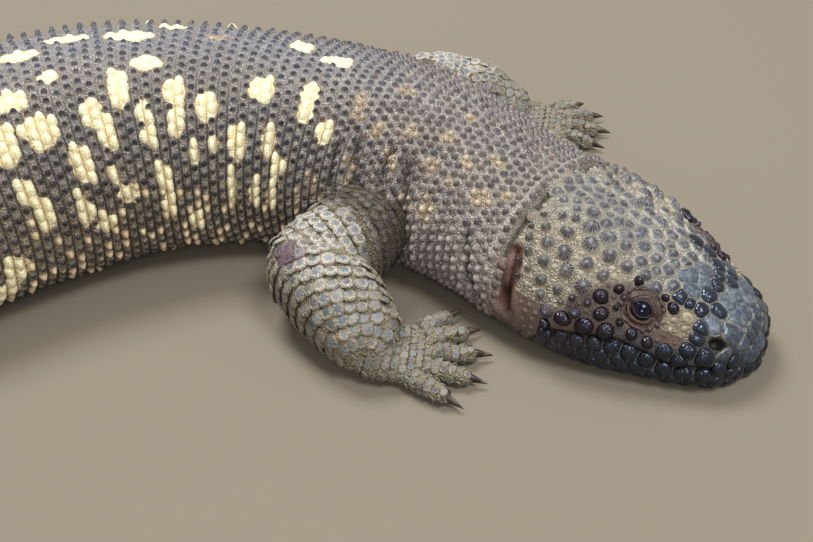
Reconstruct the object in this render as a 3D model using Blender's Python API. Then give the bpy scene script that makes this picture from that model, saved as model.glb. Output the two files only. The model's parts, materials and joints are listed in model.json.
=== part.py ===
"""Mexican beaded lizard, a still life-size model lying on its belly.

Metres, +Z up. The origin is on the floor beneath the shoulders, +X points along the body
towards the head, and the head is turned towards -Y.
"""
import math
import random

import bmesh
import bpy
import numpy as np
from mathutils import Matrix, Vector

MM = 0.001
GAP = 0.3            # mm kept between two pieces that meet
SEED = 7             # for the small differences between beads

# The body as a loft along its spine, in mm. Columns: distance behind the snout, heading of the
# spine in degrees towards -Y, half width, height of the back, height of the widest point,
# and the roundness powers of the back and of the belly.
BODY = (
    (0.0, 38, 5.0, 11.0, 7.0, 2.0, 2.0),
    (1.2, 38, 9.5, 14.0, 7.5, 2.1, 2.1),
    (4.5, 38, 15.0, 17.0, 7.2, 2.1, 2.3),
    (11.0, 38, 19.3, 20.5, 7.2, 2.05, 2.5),
    (18.0, 38, 22.5, 24.0, 7.6, 2.0, 2.6),
    (25.0, 38, 25.6, 27.5, 8.2, 2.0, 2.6),
    (36.0, 38, 29.8, 31.0, 9.6, 2.0, 2.6),
    (48.0, 38, 32.0, 33.5, 11.6, 2.05, 2.5),
    (58.0, 39, 32.0, 35.0, 13.0, 2.1, 2.5),
    (66.0, 40, 31.0, 36.0, 14.0, 2.1, 2.4),
    (78.0, 41, 30.0, 37.5, 15.5, 2.1, 2.4),
    (93.0, 39, 31.0, 41.0, 17.0, 2.15, 2.4),
    (113.0, 28, 34.5, 46.0, 19.0, 2.1, 2.4),
    (138.0, 15, 37.0, 50.0, 21.0, 2.1, 2.5),
    (176.0, -3, 39.5, 54.0, 23.0, 2.1, 2.5),
    (221.0, -22, 44.5, 57.0, 22.5, 2.1, 2.5),
    (266.0, -34, 48.0, 57.0, 21.0, 2.1, 2.5),
    (311.0, -38, 44.0, 52.0, 20.0, 2.1, 2.5),
    (346.0, -38, 34.0, 45.0, 18.0, 2.1, 2.4),
    (376.0, -37, 26.0, 39.0, 17.0, 2.1, 2.3),
    (406.0, -34, 22.0, 34.0, 16.0, 2.0, 2.2),
    (461.0, -24, 20.5, 32.0, 15.0, 2.0, 2.2),
    (521.0, -6, 18.0, 28.0, 13.5, 2.0, 2.2),
    (581.0, 12, 14.5, 23.0, 11.0, 2.0, 2.2),
    (636.0, 26, 10.0, 16.0, 7.5, 2.0, 2.2),
    (671.0, 30, 6.0, 9.5, 4.5, 2.0, 2.0),
    (686.0, 32, 2.2, 4.0, 2.0, 2.0, 2.0),
)
SHOULDERS = 116.0     # mm behind the snout, the station that stands over the origin
PRESSED = 2.0         # mm by which the soft belly is flattened against the floor
SPINE_STEP = 0.5      # mm
RING_TRACE = 181      # points by which the length round a section is measured

# Cuts between the body's pieces, mm behind the snout.
HEAD_END = 68.0
NECK_END = 93.0
TORSO_END = 386.0
TAIL_CUTS = (486.0, 586.0)
TAIL_END = 686.0
COLUMNS = {"neck": 42, "torso": 46, "tail_base": 24, "tail_middle": 16, "tail_tip": 12}

# The mouth line, mm behind the snout and mm above the floor.
MOUTH = ((0.0, 7.4), (6.0, 8.3), (14.0, 8.4), (22.0, 11.4), (30.0, 13.4), (38.0, 12.6), (50.0, 11.0))
MOUTH_CORNER = 47.0   # mm behind the snout
MOUTH_DEPTH = 1.3     # mm
MOUTH_AIM = 6.0       # mm behind a section, the point on the spine that the mouth slit aims at
LIP_ROLL = 5.0        # degrees of the section between the mouth line and the edge of a lip
HEAD_STEP = 3.3       # mm between the sections of the head
SNOUT_STATIONS = (0.0, 0.5, 1.2, 2.4, 4.2)   # mm, the closer sections of the blunt snout
ABOVE_MOUTH = 11      # facets from the crown to the upper lip
BELOW_MOUTH = 6       # facets from the lower lip to the chin

# The eye, on each side of the head.
EYE_AT = (25.0, 41.5)         # mm behind the snout, degrees above the side of the head
EYE_RADIUS = 4.0
EYE_SUNK = 3.1                # mm from the skin in to the eyeball's centre
LID_THICKNESS = 1.1
LID_STRETCH = 1.12            # the lids are this much longer than they are high
LID_OPENING = (3.1, 2.3, 4.0) # half length, half height and depth of the opening between the lids
BALL_FACETS = (11, 6)         # facets round and along the eyeballs and lids
PIT_FACETS = (8, 7)           # and of the nostrils and ears

# Beads of the trunk and tail, raised in rings. The real rings are 3.5 mm apart; every fifth
# one is raised here, with every other bead of its own size.
BEAD_LENGTH = 3.5             # mm along the body
RING_PITCH = 17.5             # mm from one raised ring to the next
BEAD_HEIGHT = (0.9, 1.3)
BEAD_EDGE = (0.75, 0.95)      # mm by which a bead's top is narrower than its foot on each side
BEAD_CLEAR = 3.0              # mm kept free of beads above the floor and round a leg

# Labial plates along the lips and the domed scutes of the head.
LIP_PLATES = 8                # on each side, on each lip
LIP_FIRST_ROW = 3             # facet behind the snout at which the first plate starts
LIP_PLATE_RISE = 0.45
LIP_PLATE_EDGE = 0.4
SCUTE_PITCH = 9.4             # mm between the larger scutes of the crown and temples
SCUTE_RADIUS = (2.1, 2.6)
SCUTE_RISE = (0.8, 1.1)       # each scute's height as a share of the profile
SCUTE_SIDES = 6
SCUTE_ROWS = (9.0, 63.0)      # mm behind the snout, first and last row
SCUTE_FREE = {"eye": 8.3, "nostril": 4.2, "ear": 5.2, "lip": 7.2}   # mm kept round each feature
SCUTE_ROW_STEP = 0.87         # rows of a staggered net lie this share of its pitch apart
SCUTE_PROFILE = ((1.0, -1.2), (0.95, 0.5), (0.5, 1.3))   # share of the radius, mm over the skin
SCUTE_SHIFT = (0.8, 1.5)      # mm along the body and degrees round it that a scute may stray
SCUTE_TRACE = 121             # points by which a row's length is measured
BROW_RING = (7.0, 6)          # mm from the eye's centre and count of the tubercles round it
BROW_SCUTE = (1.7, 0.9)       # radius and rise of those tubercles

NOSTRIL_AT = (6.0, 42.0)
NOSTRIL_SIZE = (1.4, 1.2, 2.0)   # half length, half height and depth
EAR_AT = (58.0, 20.0)
EAR_SIZE = (1.2, 9.0, 2.8)       # half width, half height and depth of the slit
EAR_SPAN = (-14, 0, 14)          # degrees round the head, points of the slit that scutes keep off

# Legs, in mm: joint points as x, y, z with the half width and half height of the limb there.
LEGS = {
    "foreleg_right": {
        "upper": ((-6, -22, 19, 12.5, 12.5), (-15, -35, 18, 13, 13.5), (-25, -46, 16, 12.5, 13)),
        "lower": ((-26, -47, 16, 12.5, 13), (-20, -56, 14, 12.5, 12.5), (-12, -66, 10, 11, 10)),
        "palm": ((-10, -67, 6, 10, 6.5), (-4, -68, 4.5, 10.5, 5.5), (2, -68.5, 3.5, 9, 4.5)),
        "digits": (44, 24, 5, -14, -36),
        "reach": (10, 13, 14.5, 13.5, 10),
    },
    "foreleg_left": {
        "upper": ((-2, 22, 22, 13, 13), (5, 40, 20, 13, 13), (12, 53, 17, 11.5, 12)),
        "lower": ((12, 53, 17, 11.5, 12), (24, 54, 13.5, 10.5, 11), (35, 52, 9, 9, 8)),
        "palm": ((37, 52, 6, 9, 6.5), (44, 51, 4.5, 10.5, 5.5), (50, 50, 3.5, 9, 4.5)),
        "digits": (-42, -22, -4, 16, 38),
        "reach": (10, 13, 14.5, 13.5, 10),
    },
    "hind_leg_right": {
        "upper": ((-200, -84, 22, 15, 15), (-180, -102, 21, 15.5, 15), (-163, -118, 18, 13, 13)),
        "lower": ((-163, -118, 18, 13, 13), (-170, -130, 13, 11, 11), (-178, -141, 9, 8.5, 8)),
        "palm": ((-178, -142, 6, 9, 6.5), (-171, -148, 4.5, 10.5, 5.5), (-166, -152, 3.5, 9.5, 4.5)),
        "digits": (14, -9, -31, -54, -86),
        "reach": (10, 14, 17, 18.5, 12),
    },
    "hind_leg_left": {
        "upper": ((-218, -53, 22, 15, 15), (-229, -28, 21, 15.5, 15), (-224, -2, 18, 13, 13)),
        "lower": ((-224, -2, 18, 13, 13), (-233, 8, 13, 11, 11), (-244, 16, 9, 8.5, 8)),
        "palm": ((-244, 17, 6, 9, 6.5), (-241, 25, 4.5, 10.5, 5.5), (-239, 31, 3.5, 9.5, 4.5)),
        "digits": (30, 54, 76, 98, 130),
        "reach": (10, 14, 17, 18.5, 12),
    },
}
LIMB_POWER = 2.2
LIMB_SIDES = 12
PALM_SIDES = 10
TOE_SIDES = 5
LIMB_STEP = 8.0           # mm between the sections of a limb
TOE_STEP = 9.0
LIMB_CAPS = (38, 72)      # degrees, the sections of a limb's round end
LEG_ROOTS = {"fore": (71, 191), "hind": (300, 420)}   # mm behind the snout, the flank cut from a leg
ROOT_STEP = 12
ROOT_COLUMNS = 32
ROOT_GROW = 1.6 * GAP     # a little over the gap, because the coarser cutter lies inside its curve
BELOW_FLOOR = -5          # mm, so that a cutter clears the floor
LIMB_BEAD_PITCH = 7.5     # mm along the leg
LIMB_BEAD_FREE = 1.5      # mm of plain skin round each bead of a leg
LIMB_BEAD_LEAN = 0.05     # beads grow where the skin faces more upwards than this
TOE_ROOT = 3.0            # mm that a toe's root lies inside the palm
TOE_SPREAD = 4.3          # mm from one toe's root to the next, across the palm
MIDDLE_TOE = 3
TOE_RADII = (2.9, 2.7, 2.3)
TOE_HEIGHTS = (3.2, 3.6, 2.6)
CLAW_LENGTH = 6.5
CLAW_RADIUS = 1.7
CLAW_SIDES = 5
CLAW_FLATNESS = 0.8       # a claw is this much narrower than it is high
CLAW_CLEAR = 0.05         # mm kept above the floor
CLAW_POINTS = ((0.0, 1.0, 0.0), (0.6, 0.7, 0.3), (1.0, 0.14, -1.4))

SHARP = math.radians(50)   # edges sharper than this stay crisp in smooth shading

# Colour and roughness of the plain materials.
HIDE = ((0.16, 0.13, 0.11), 0.6)
HORN = ((0.05, 0.04, 0.035), 0.35)
WET_EYE = ((0.02, 0.012, 0.01), 0.1)


def spread(points, column):
    """One column of a table of named rows as an array."""
    return np.array([row[column] for row in points], float)


def curve_through(x, y, q):
    """A smooth curve through the points that never overshoots between them."""
    q = np.asarray(q, float)
    step = np.diff(x)
    slope = np.diff(y) / step
    bend = np.zeros_like(y)
    bend[0] = slope[0]
    bend[-1] = slope[-1]
    for k in range(1, len(y) - 1):
        if slope[k - 1] * slope[k] > 0:
            before = 2 * step[k] + step[k - 1]
            after = step[k] + 2 * step[k - 1]
            bend[k] = (before + after) / (before / slope[k - 1] + after / slope[k])
    k = np.clip(np.searchsorted(x, q) - 1, 0, len(step) - 1)
    t = np.clip((q - x[k]) / step[k], 0, 1)
    start = y[k] * (1 + 2 * t) * (1 - t) ** 2 + step[k] * bend[k] * t * (1 - t) ** 2
    finish = y[k + 1] * t * t * (3 - 2 * t) + step[k] * bend[k + 1] * t * t * (t - 1)
    return start + finish


def station(s, column):
    return curve_through(spread(BODY, 0), spread(BODY, column), s)


def lay_spine():
    """The spine on the floor plan, from its heading, with the shoulders over the origin."""
    fine = np.arange(0.0, TAIL_END + SPINE_STEP, SPINE_STEP)
    heading = np.radians(station(fine, 1))
    ahead = np.stack([np.cos(heading), -np.sin(heading)], axis=1)
    steps = (ahead[1:] + ahead[:-1]) / 2 * SPINE_STEP
    plan = -np.concatenate([[[0.0, 0.0]], np.cumsum(steps, axis=0)])
    plan -= plan[int(SHOULDERS / SPINE_STEP)]
    return fine, plan


SPINE_S, SPINE_PLAN = lay_spine()


def spine_at(s):
    """Point of the spine on the floor plan and its direction towards the head."""
    heading = math.radians(float(station(s, 1)))
    x = float(np.interp(s, SPINE_S, SPINE_PLAN[:, 0]))
    y = float(np.interp(s, SPINE_S, SPINE_PLAN[:, 1]))
    return x, y, math.cos(heading), -math.sin(heading)


def signed_power(value, power):
    return math.copysign(abs(value) ** power, value)


def body_points(s, angles, grow=0.0, floor=0.0):
    """Points of the body's skin round one section, in mm.

    An angle goes from 0 at the animal's left over 90 at its back to 180 at its right.
    """
    x, y, ahead_x, ahead_y = spine_at(s)
    half = float(station(s, 2)) + grow
    back = float(station(s, 3)) + grow
    wide = float(station(s, 4))
    turn = np.radians(angles)
    over = np.sin(turn) >= 0
    power = np.where(over, 2 / float(station(s, 5)), 2 / float(station(s, 6)))
    across = half * np.sign(np.cos(turn)) * np.abs(np.cos(turn)) ** power
    rise = np.where(over, back - wide, wide + PRESSED + grow)
    height = wide + rise * np.sign(np.sin(turn)) * np.abs(np.sin(turn)) ** power
    spots = [x - ahead_y * across, y + ahead_x * across, np.maximum(height, floor)]
    return np.stack(spots, axis=-1)


def body_point(s, angle, grow=0.0, floor=0.0):
    return Vector(body_points(s, np.array([angle]), grow, floor)[0])


def skin_normal(s, angle):
    along = body_point(s - 1, angle) - body_point(s + 1, angle)
    around = body_point(s, angle + 3) - body_point(s, angle - 3)
    return around.cross(along).normalized()


def even_ring(s, count, grow=0.0, floor=0.0):
    """Points spaced evenly round the section, from the middle of the back over the right side."""
    trace = body_points(s, np.linspace(90, 450, RING_TRACE), grow, floor)
    runs = np.linalg.norm(np.diff(trace, axis=0), axis=1)
    lengths = np.concatenate([[0.0], np.cumsum(runs)])
    marks = np.arange(count) * lengths[-1] / count
    table = [np.interp(marks, lengths, trace[:, axis]) for axis in range(3)]
    return [Vector(point) for point in np.stack(table, axis=1)]


def new_object(name, bm):
    """A mesh object from a bmesh whose points are in mm."""
    bmesh.ops.scale(bm, vec=(MM, MM, MM), verts=bm.verts)
    bmesh.ops.recalc_face_normals(bm, faces=bm.faces)
    mesh = bpy.data.meshes.new(name)
    bm.to_mesh(mesh)
    bm.free()
    thing = bpy.data.objects.new(name, mesh)
    bpy.context.scene.collection.objects.link(thing)
    return thing


def wrap(rings):
    """An open skin over rings with equal counts of points, and the loops of its points."""
    bm = bmesh.new()
    loops = [[bm.verts.new(point) for point in ring] for ring in rings]
    for one, two in zip(loops, loops[1:]):
        for k in range(len(one)):
            after = (k + 1) % len(one)
            bm.faces.new((one[k], one[after], two[after], two[k]))
    return bm, loops


def loft(rings):
    """A closed skin over rings, with a flat face on each end."""
    bm, loops = wrap(rings)
    bm.faces.new(loops[0])
    bm.faces.new(loops[-1])
    return bm


def body_length(name, start, end, step, columns, grow=0.0, floor=0.0):
    """One length of the body between two cuts across the spine, without its beads."""
    first = start + GAP / 2
    last = end - GAP / 2
    count = max(2, round((last - first) / step))
    stations = np.linspace(first, last, count + 1)
    bm = loft([even_ring(s, columns, grow, floor) for s in stations])
    return new_object(name, bm)


def distance_to_limb(point, joints):
    """Distance in mm from a point to the surface of a limb drawn through joint points."""
    nearest = 1e9
    for one, two in zip(joints, joints[1:]):
        start = Vector(one[:3])
        run = Vector(two[:3]) - start
        part = min(1.0, max(0.0, (point - start).dot(run) / run.length_squared))
        thick = one[3] + (two[3] - one[3]) * part
        nearest = min(nearest, (point - start - run * part).length - thick)
    return nearest


def clear_of_legs(point):
    for plan in LEGS.values():
        for joints in (plan["upper"], plan["lower"], plan["palm"]):
            if distance_to_limb(point, joints) < BEAD_CLEAR:
                return False
    return True


def beaded_length(name, start, end, columns, rng):
    """One length of the body with rings of beads raised in its own surface."""
    first = start + GAP / 2
    last = end - GAP / 2
    count = max(1, round((last - first) / RING_PITCH))
    pitch = (last - first) / count
    middles = [first + pitch * (k + 0.5) for k in range(count)]
    stations = [first]
    for middle in middles:
        stations += [middle - BEAD_LENGTH / 2, middle + BEAD_LENGTH / 2]
    stations.append(last)
    bm = loft([even_ring(s, columns) for s in stations])
    bm.faces.ensure_lookup_table()
    chosen = []
    for ring in range(count):
        row = 2 * ring + 1
        for k in range(ring % 2, columns, 2):
            face = bm.faces[row * columns + k]
            low = min(corner.co.z for corner in face.verts)
            if low > BEAD_CLEAR and clear_of_legs(face.calc_center_median()):
                chosen.append(face)
    bmesh.ops.recalc_face_normals(bm, faces=bm.faces)
    for face in chosen:
        edge = rng.uniform(*BEAD_EDGE)
        rise = rng.uniform(*BEAD_HEIGHT)
        bmesh.ops.inset_individual(bm, faces=[face], thickness=edge, depth=rise)
    return new_object(name, bm)


def mouth_angle(s):
    """Degrees above the side of the head at which the mouth line crosses a section."""
    height = float(curve_through(spread(MOUTH, 0), spread(MOUTH, 1), s))
    wide = float(station(s, 4))
    if height >= wide:
        part = (height - wide) / (float(station(s, 3)) - wide)
        return math.degrees(math.asin(part ** (float(station(s, 5)) / 2)))
    part = (wide - height) / (wide + PRESSED)
    return -math.degrees(math.asin(part ** (float(station(s, 6)) / 2)))


def head_section(s):
    """One section of the head with a facet line on the mouth and on the edge of each lip."""
    mouth = mouth_angle(min(s, MOUTH_CORNER))
    upper = np.linspace(90, mouth + LIP_ROLL, ABOVE_MOUTH + 1)
    lower = np.linspace(mouth - LIP_ROLL, -90, BELOW_MOUTH + 1)
    left = [body_point(s, a) for a in upper]
    middle = body_point(s, mouth)
    open_part = min(1.0, max(0.0, (MOUTH_CORNER - s) / HEAD_STEP))
    x, y, ahead_x, ahead_y = spine_at(s)
    centre = Vector((x - MOUTH_AIM * ahead_x, y - MOUTH_AIM * ahead_y, middle.z))
    middle += (centre - middle).normalized() * MOUTH_DEPTH * open_part
    left += [middle] + [body_point(s, a) for a in lower]
    ahead = Vector((ahead_x, ahead_y, 0))
    side = Vector((-ahead_y, ahead_x, 0))
    right = []
    for point in left[1:-1]:
        offset = point - Vector((x, y, 0))
        across = offset.dot(side)
        right.append(Vector((x, y, point.z)) + ahead * offset.dot(ahead) - side * across)
    return left + right[::-1]


def raise_lips(bm, rows, size, stations):
    """Raises the labial plates, two facets long, above and below the mouth line."""
    bm.faces.ensure_lookup_table()
    bmesh.ops.recalc_face_normals(bm, faces=bm.faces)
    lips = (ABOVE_MOUTH - 1, ABOVE_MOUTH + 2)
    pairs = []
    for column in lips + tuple(size - 1 - column for column in lips):
        for plate in range(LIP_PLATES):
            row = LIP_FIRST_ROW + 2 * plate
            if row + 1 < rows and stations[row + 2] < MOUTH_CORNER:
                pairs.append([bm.faces[(row + step) * size + column] for step in (0, 1)])
    for pair in pairs:
        bmesh.ops.inset_region(bm, faces=pair, thickness=LIP_PLATE_EDGE, depth=LIP_PLATE_RISE)


def scute(point, out, ahead, radius, rise):
    """A domed plate with few sides, sunk into the skin."""
    across = out.cross(ahead).normalized()
    ahead = across.cross(out)
    rings = []
    for part, height in SCUTE_PROFILE:
        ring = []
        for k in range(SCUTE_SIDES):
            turn = 2 * math.pi * k / SCUTE_SIDES
            flat = ahead * math.cos(turn) + across * math.sin(turn)
            ring.append(point + flat * radius * part + out * height * rise)
        rings.append(ring)
    return new_object("scute", loft(rings))


def head_scutes(rng):
    """The larger scutes of the crown and temples in staggered rows, and those round each eye."""
    eyes = [body_point(EYE_AT[0], a) for a in (EYE_AT[1], 180 - EYE_AT[1])]
    noses = [body_point(NOSTRIL_AT[0], a) for a in (NOSTRIL_AT[1], 180 - NOSTRIL_AT[1])]
    ears = [body_point(EAR_AT[0], a + b) for a in (EAR_AT[1], 180 - EAR_AT[1]) for b in EAR_SPAN]
    found = []
    rows = round((SCUTE_ROWS[1] - SCUTE_ROWS[0]) / (SCUTE_PITCH * SCUTE_ROW_STEP)) + 1
    for number, s in enumerate(np.linspace(*SCUTE_ROWS, rows)):
        low = mouth_angle(min(s, MOUTH_CORNER))
        angles = np.linspace(low, 180 - low, SCUTE_TRACE)
        trace = body_points(s, angles)
        lengths = np.concatenate([[0.0], np.cumsum(np.linalg.norm(np.diff(trace, axis=0), axis=1))])
        middle = lengths[-1] / 2
        reach = int(middle / SCUTE_PITCH)
        shift = 0.5 * (number % 2)
        for k in range(-reach, reach + 1):
            mark = middle + (k + shift) * SCUTE_PITCH
            if min(mark, lengths[-1] - mark) < SCUTE_FREE["lip"]:
                continue
            angle = float(np.interp(mark, lengths, angles))
            stray = [rng.uniform(-most, most) for most in SCUTE_SHIFT]
            found.append((s + stray[0], angle + stray[1]))
    scutes = []
    for s, angle in found:
        point = body_point(s, angle)
        spaces = [(eyes, "eye"), (noses, "nostril"), (ears, "ear")]
        if any((point - spot).length < SCUTE_FREE[kind] for spots, kind in spaces for spot in spots):
            continue
        out = skin_normal(s, angle)
        ahead = body_point(s - 1, angle) - body_point(s + 1, angle)
        scutes.append(scute(point, out, ahead, rng.uniform(*SCUTE_RADIUS), rng.uniform(*SCUTE_RISE)))
    for side in ("left", "right"):
        point, ahead, up, out = side_frame(*EYE_AT, side)
        for k in range(BROW_RING[1]):
            turn = 2 * math.pi * (k + 0.5) / BROW_RING[1]
            spot = point + (ahead * math.cos(turn) + up * math.sin(turn)) * BROW_RING[0]
            scutes.append(scute(spot, out, ahead, *BROW_SCUTE))
    return scutes


def head_loft():
    """The head, with the mouth line and the lips in its own surface."""
    last = HEAD_END - GAP / 2
    count = round((last - SNOUT_STATIONS[-1]) / HEAD_STEP)
    stations = list(SNOUT_STATIONS[:-1]) + list(np.linspace(SNOUT_STATIONS[-1], last, count + 1))
    bm, loops = wrap([head_section(s) for s in stations])
    size = len(loops[0])
    bm.faces.new(loops[-1])
    raise_lips(bm, len(loops) - 1, size, stations)
    snout = loops[0]
    half = size // 2
    for k in range(half):
        other = (size - k) % size
        face = [snout[k], snout[k + 1], snout[(size - k - 1) % size], snout[other]]
        face = [v for i, v in enumerate(face) if v not in face[:i]]
        bm.faces.new(face)
    return new_object("head", bm)


def pour(thing, mesh):
    """Gives an object another mesh and removes the old one."""
    old = thing.data
    thing.data = mesh
    bpy.data.meshes.remove(old)


def carve(thing, operation, *tools):
    """Cuts or joins closed objects in one Boolean, applies it and removes the tools."""
    group = bpy.data.collections.new("tools")
    bpy.context.scene.collection.children.link(group)
    for tool in tools:
        group.objects.link(tool)
    modifier = thing.modifiers.new("carve", "BOOLEAN")
    modifier.operation = operation
    modifier.operand_type = "COLLECTION"
    modifier.collection = group
    ready = thing.evaluated_get(bpy.context.evaluated_depsgraph_get())
    mesh = bpy.data.meshes.new_from_object(ready)
    thing.modifiers.clear()
    pour(thing, mesh)
    for tool in tools:
        bpy.data.objects.remove(tool)
    bpy.data.collections.remove(group)
    keep_largest(thing)


def keep_largest(thing):
    """Keeps only the largest closed surface of an object."""
    bm = bmesh.new()
    bm.from_mesh(thing.data)
    left = set(bm.faces)
    shells = []
    while left:
        front = [left.pop()]
        shell = set(front)
        while front:
            face = front.pop()
            for edge in face.edges:
                for other in edge.link_faces:
                    if other in left:
                        left.discard(other)
                        shell.add(other)
                        front.append(other)
        shells.append(shell)
    shells.sort(key=lambda shell: -sum(face.calc_area() for face in shell))
    spare = [face for shell in shells[1:] for face in shell]
    bmesh.ops.delete(bm, geom=spare, context="FACES")
    bm.to_mesh(thing.data)
    bm.free()


def ellipsoid(name, centre, along, across, out, sizes, segments=BALL_FACETS[0], rings=BALL_FACETS[1]):
    """A stretched ball with its three half sizes in mm along three directions."""
    bm = bmesh.new()
    bmesh.ops.create_uvsphere(bm, u_segments=segments, v_segments=rings, radius=1.0)
    turn = Matrix((along * sizes[0], across * sizes[1], out * sizes[2])).transposed().to_4x4()
    bmesh.ops.transform(bm, matrix=Matrix.Translation(centre) @ turn, verts=bm.verts)
    return new_object(name, bm)


def side_frame(s, above, side):
    """Point, direction to the snout, direction up the skin and outward normal on one side."""
    angle = above if side == "left" else 180 - above
    out = skin_normal(s, angle)
    ahead = (body_point(s - 1, angle) - body_point(s + 1, angle)).normalized()
    up = out.cross(ahead).normalized()
    if up.z < 0:
        up = -up
    return body_point(s, angle), ahead, up, out


def eye_centre(side):
    point, _, _, out = side_frame(*EYE_AT, side)
    return point - out * EYE_SUNK


def make_eye(side):
    _, ahead, up, out = side_frame(*EYE_AT, side)
    return ellipsoid("eye_" + side, eye_centre(side), ahead, up, out, (EYE_RADIUS,) * 3)


def open_head(head):
    """Adds the lids, then cuts the eye sockets, nostrils and ear slits."""
    lids = []
    cuts = []
    for side in ("left", "right"):
        _, ahead, up, out = side_frame(*EYE_AT, side)
        centre = eye_centre(side)
        socket = EYE_RADIUS + GAP
        lid = socket + LID_THICKNESS
        lids.append(ellipsoid("lid", centre, ahead, up, out, (lid * LID_STRETCH, lid, lid)))
        cuts.append(ellipsoid("socket", centre, ahead, up, out, (socket,) * 3))
        front = centre + out * (socket + LID_THICKNESS)
        cuts.append(ellipsoid("opening", front, ahead, up, out, LID_OPENING))
        cuts.append(ellipsoid("nostril", *side_frame(*NOSTRIL_AT, side), NOSTRIL_SIZE, *PIT_FACETS))
        cuts.append(ellipsoid("ear", *side_frame(*EAR_AT, side), EAR_SIZE, *PIT_FACETS))
    carve(head, "UNION", *lids)
    carve(head, "DIFFERENCE", *cuts)


def limb_rings(points, sides, grow, rounded, floor, step):
    """Sections of a tapered limb through joint points, with its ends rounded off if asked."""
    spots = np.array(points, float)
    runs = np.linalg.norm(np.diff(spots[:, :3], axis=0), axis=1)
    marks = np.concatenate([[0.0], np.cumsum(runs)])
    count = max(2, round(marks[-1] / step))
    where = np.linspace(0, marks[-1], count + 1)
    values = np.stack([curve_through(marks, spots[:, c], where) for c in range(5)], axis=1)
    middles = [Vector(v[:3]) for v in values]
    radii = [(v[3] + grow, v[4] + grow) for v in values]
    heads = [(b - a).normalized() for a, b in zip(middles, middles[1:])]
    tangents = [heads[0]] + [(a + b).normalized() for a, b in zip(heads, heads[1:])] + [heads[-1]]
    stations = list(zip(middles, tangents, radii))
    ends = []
    for end, sign in ((0, -1), (-1, 1)):
        middle, tangent, radius = stations[end]
        bulge = min(radius)
        caps = []
        if rounded[end]:
            for turn in LIMB_CAPS:
                lean = math.radians(turn)
                shrunk = (radius[0] * math.cos(lean), radius[1] * math.cos(lean))
                caps.append((middle + tangent * sign * bulge * math.sin(lean), tangent, shrunk))
        ends.append(caps)
    stations = ends[0][::-1] + stations + ends[1]
    rings = []
    for middle, tangent, radius in stations:
        side = Vector((0, 0, 1)).cross(tangent).normalized()
        up = tangent.cross(side)
        ring = []
        for k in range(sides):
            turn = 2 * math.pi * (k + 0.5) / sides
            across = radius[0] * signed_power(math.cos(turn), 2 / LIMB_POWER)
            rise = radius[1] * signed_power(math.sin(turn), 2 / LIMB_POWER)
            point = middle + side * across + up * rise
            point.z = max(point.z, floor)
            ring.append(point)
        rings.append(ring)
    return rings


def limb(name, points, sides, grow=0.0, rounded=(True, True), floor=0.0, step=LIMB_STEP):
    return new_object(name, loft(limb_rings(points, sides, grow, rounded, floor, step)))


def beaded_limb(name, points, rng, neighbours):
    """An upper or lower leg with staggered beads on its back and flanks, clear of its joints."""
    rings = limb_rings(points, LIMB_SIDES, 0.0, (True, True), 0.0, LIMB_BEAD_PITCH)
    bm = loft(rings)
    bm.faces.ensure_lookup_table()
    bmesh.ops.recalc_face_normals(bm, faces=bm.faces)
    chosen = []
    for row in range(2, len(rings) - 3):
        for k in range(row % 2, LIMB_SIDES, 2):
            face = bm.faces[row * LIMB_SIDES + k]
            middle = face.calc_center_median()
            free = min(distance_to_limb(middle, joints) for joints in neighbours)
            if face.normal.z > LIMB_BEAD_LEAN and free > BEAD_CLEAR:
                chosen.append(face)
    for face in chosen:
        rise = rng.uniform(*BEAD_HEIGHT)
        bmesh.ops.inset_individual(bm, faces=[face], thickness=LIMB_BEAD_FREE, depth=0.0)
        bmesh.ops.inset_individual(bm, faces=[face], thickness=BEAD_EDGE[0], depth=rise)
    return new_object(name, bm)


def toe_points(root, angle, reach):
    """A toe's three points, arched a little and turned on the floor plan by its own angle."""
    ahead = Vector((math.cos(math.radians(angle)), math.sin(math.radians(angle)), 0))
    points = []
    for part, radius, height in zip((0.0, 0.5, 1.0), TOE_RADII, TOE_HEIGHTS):
        spot = root + ahead * ((TOE_ROOT + reach) * part - TOE_ROOT)
        points.append((spot.x, spot.y, height, radius, radius))
    return points, ahead


def make_claw(name, tip, ahead):
    """A curved horn claw that starts a gap beyond the end of its toe."""
    points = []
    for part, thick, drop in CLAW_POINTS:
        spot = tip + ahead * (GAP + CLAW_LENGTH * part)
        radius = CLAW_RADIUS * thick
        height = max(tip.z + drop, radius + CLAW_CLEAR)
        points.append((spot.x, spot.y, height, radius * CLAW_FLATNESS, radius))
    rings = []
    for x, y, z, half, rise in points:
        side = Vector((-ahead.y, ahead.x, 0))
        ring = []
        for k in range(CLAW_SIDES):
            turn = 2 * math.pi * (k + 0.75) / CLAW_SIDES
            spot = Vector((x, y, z)) + side * half * math.cos(turn)
            ring.append(spot + Vector((0, 0, rise * math.sin(turn))))
        rings.append(ring)
    return new_object(name, loft(rings))


def flank_cutter(name):
    """The body beside a leg's root, grown by the gap."""
    start, end = LEG_ROOTS[name[:4]]
    return body_length("flank", start, end, ROOT_STEP, ROOT_COLUMNS, ROOT_GROW, BELOW_FLOOR)


def limb_cutter(points):
    return limb("cutter", points, LIMB_SIDES, grow=GAP, floor=BELOW_FLOOR)


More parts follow.
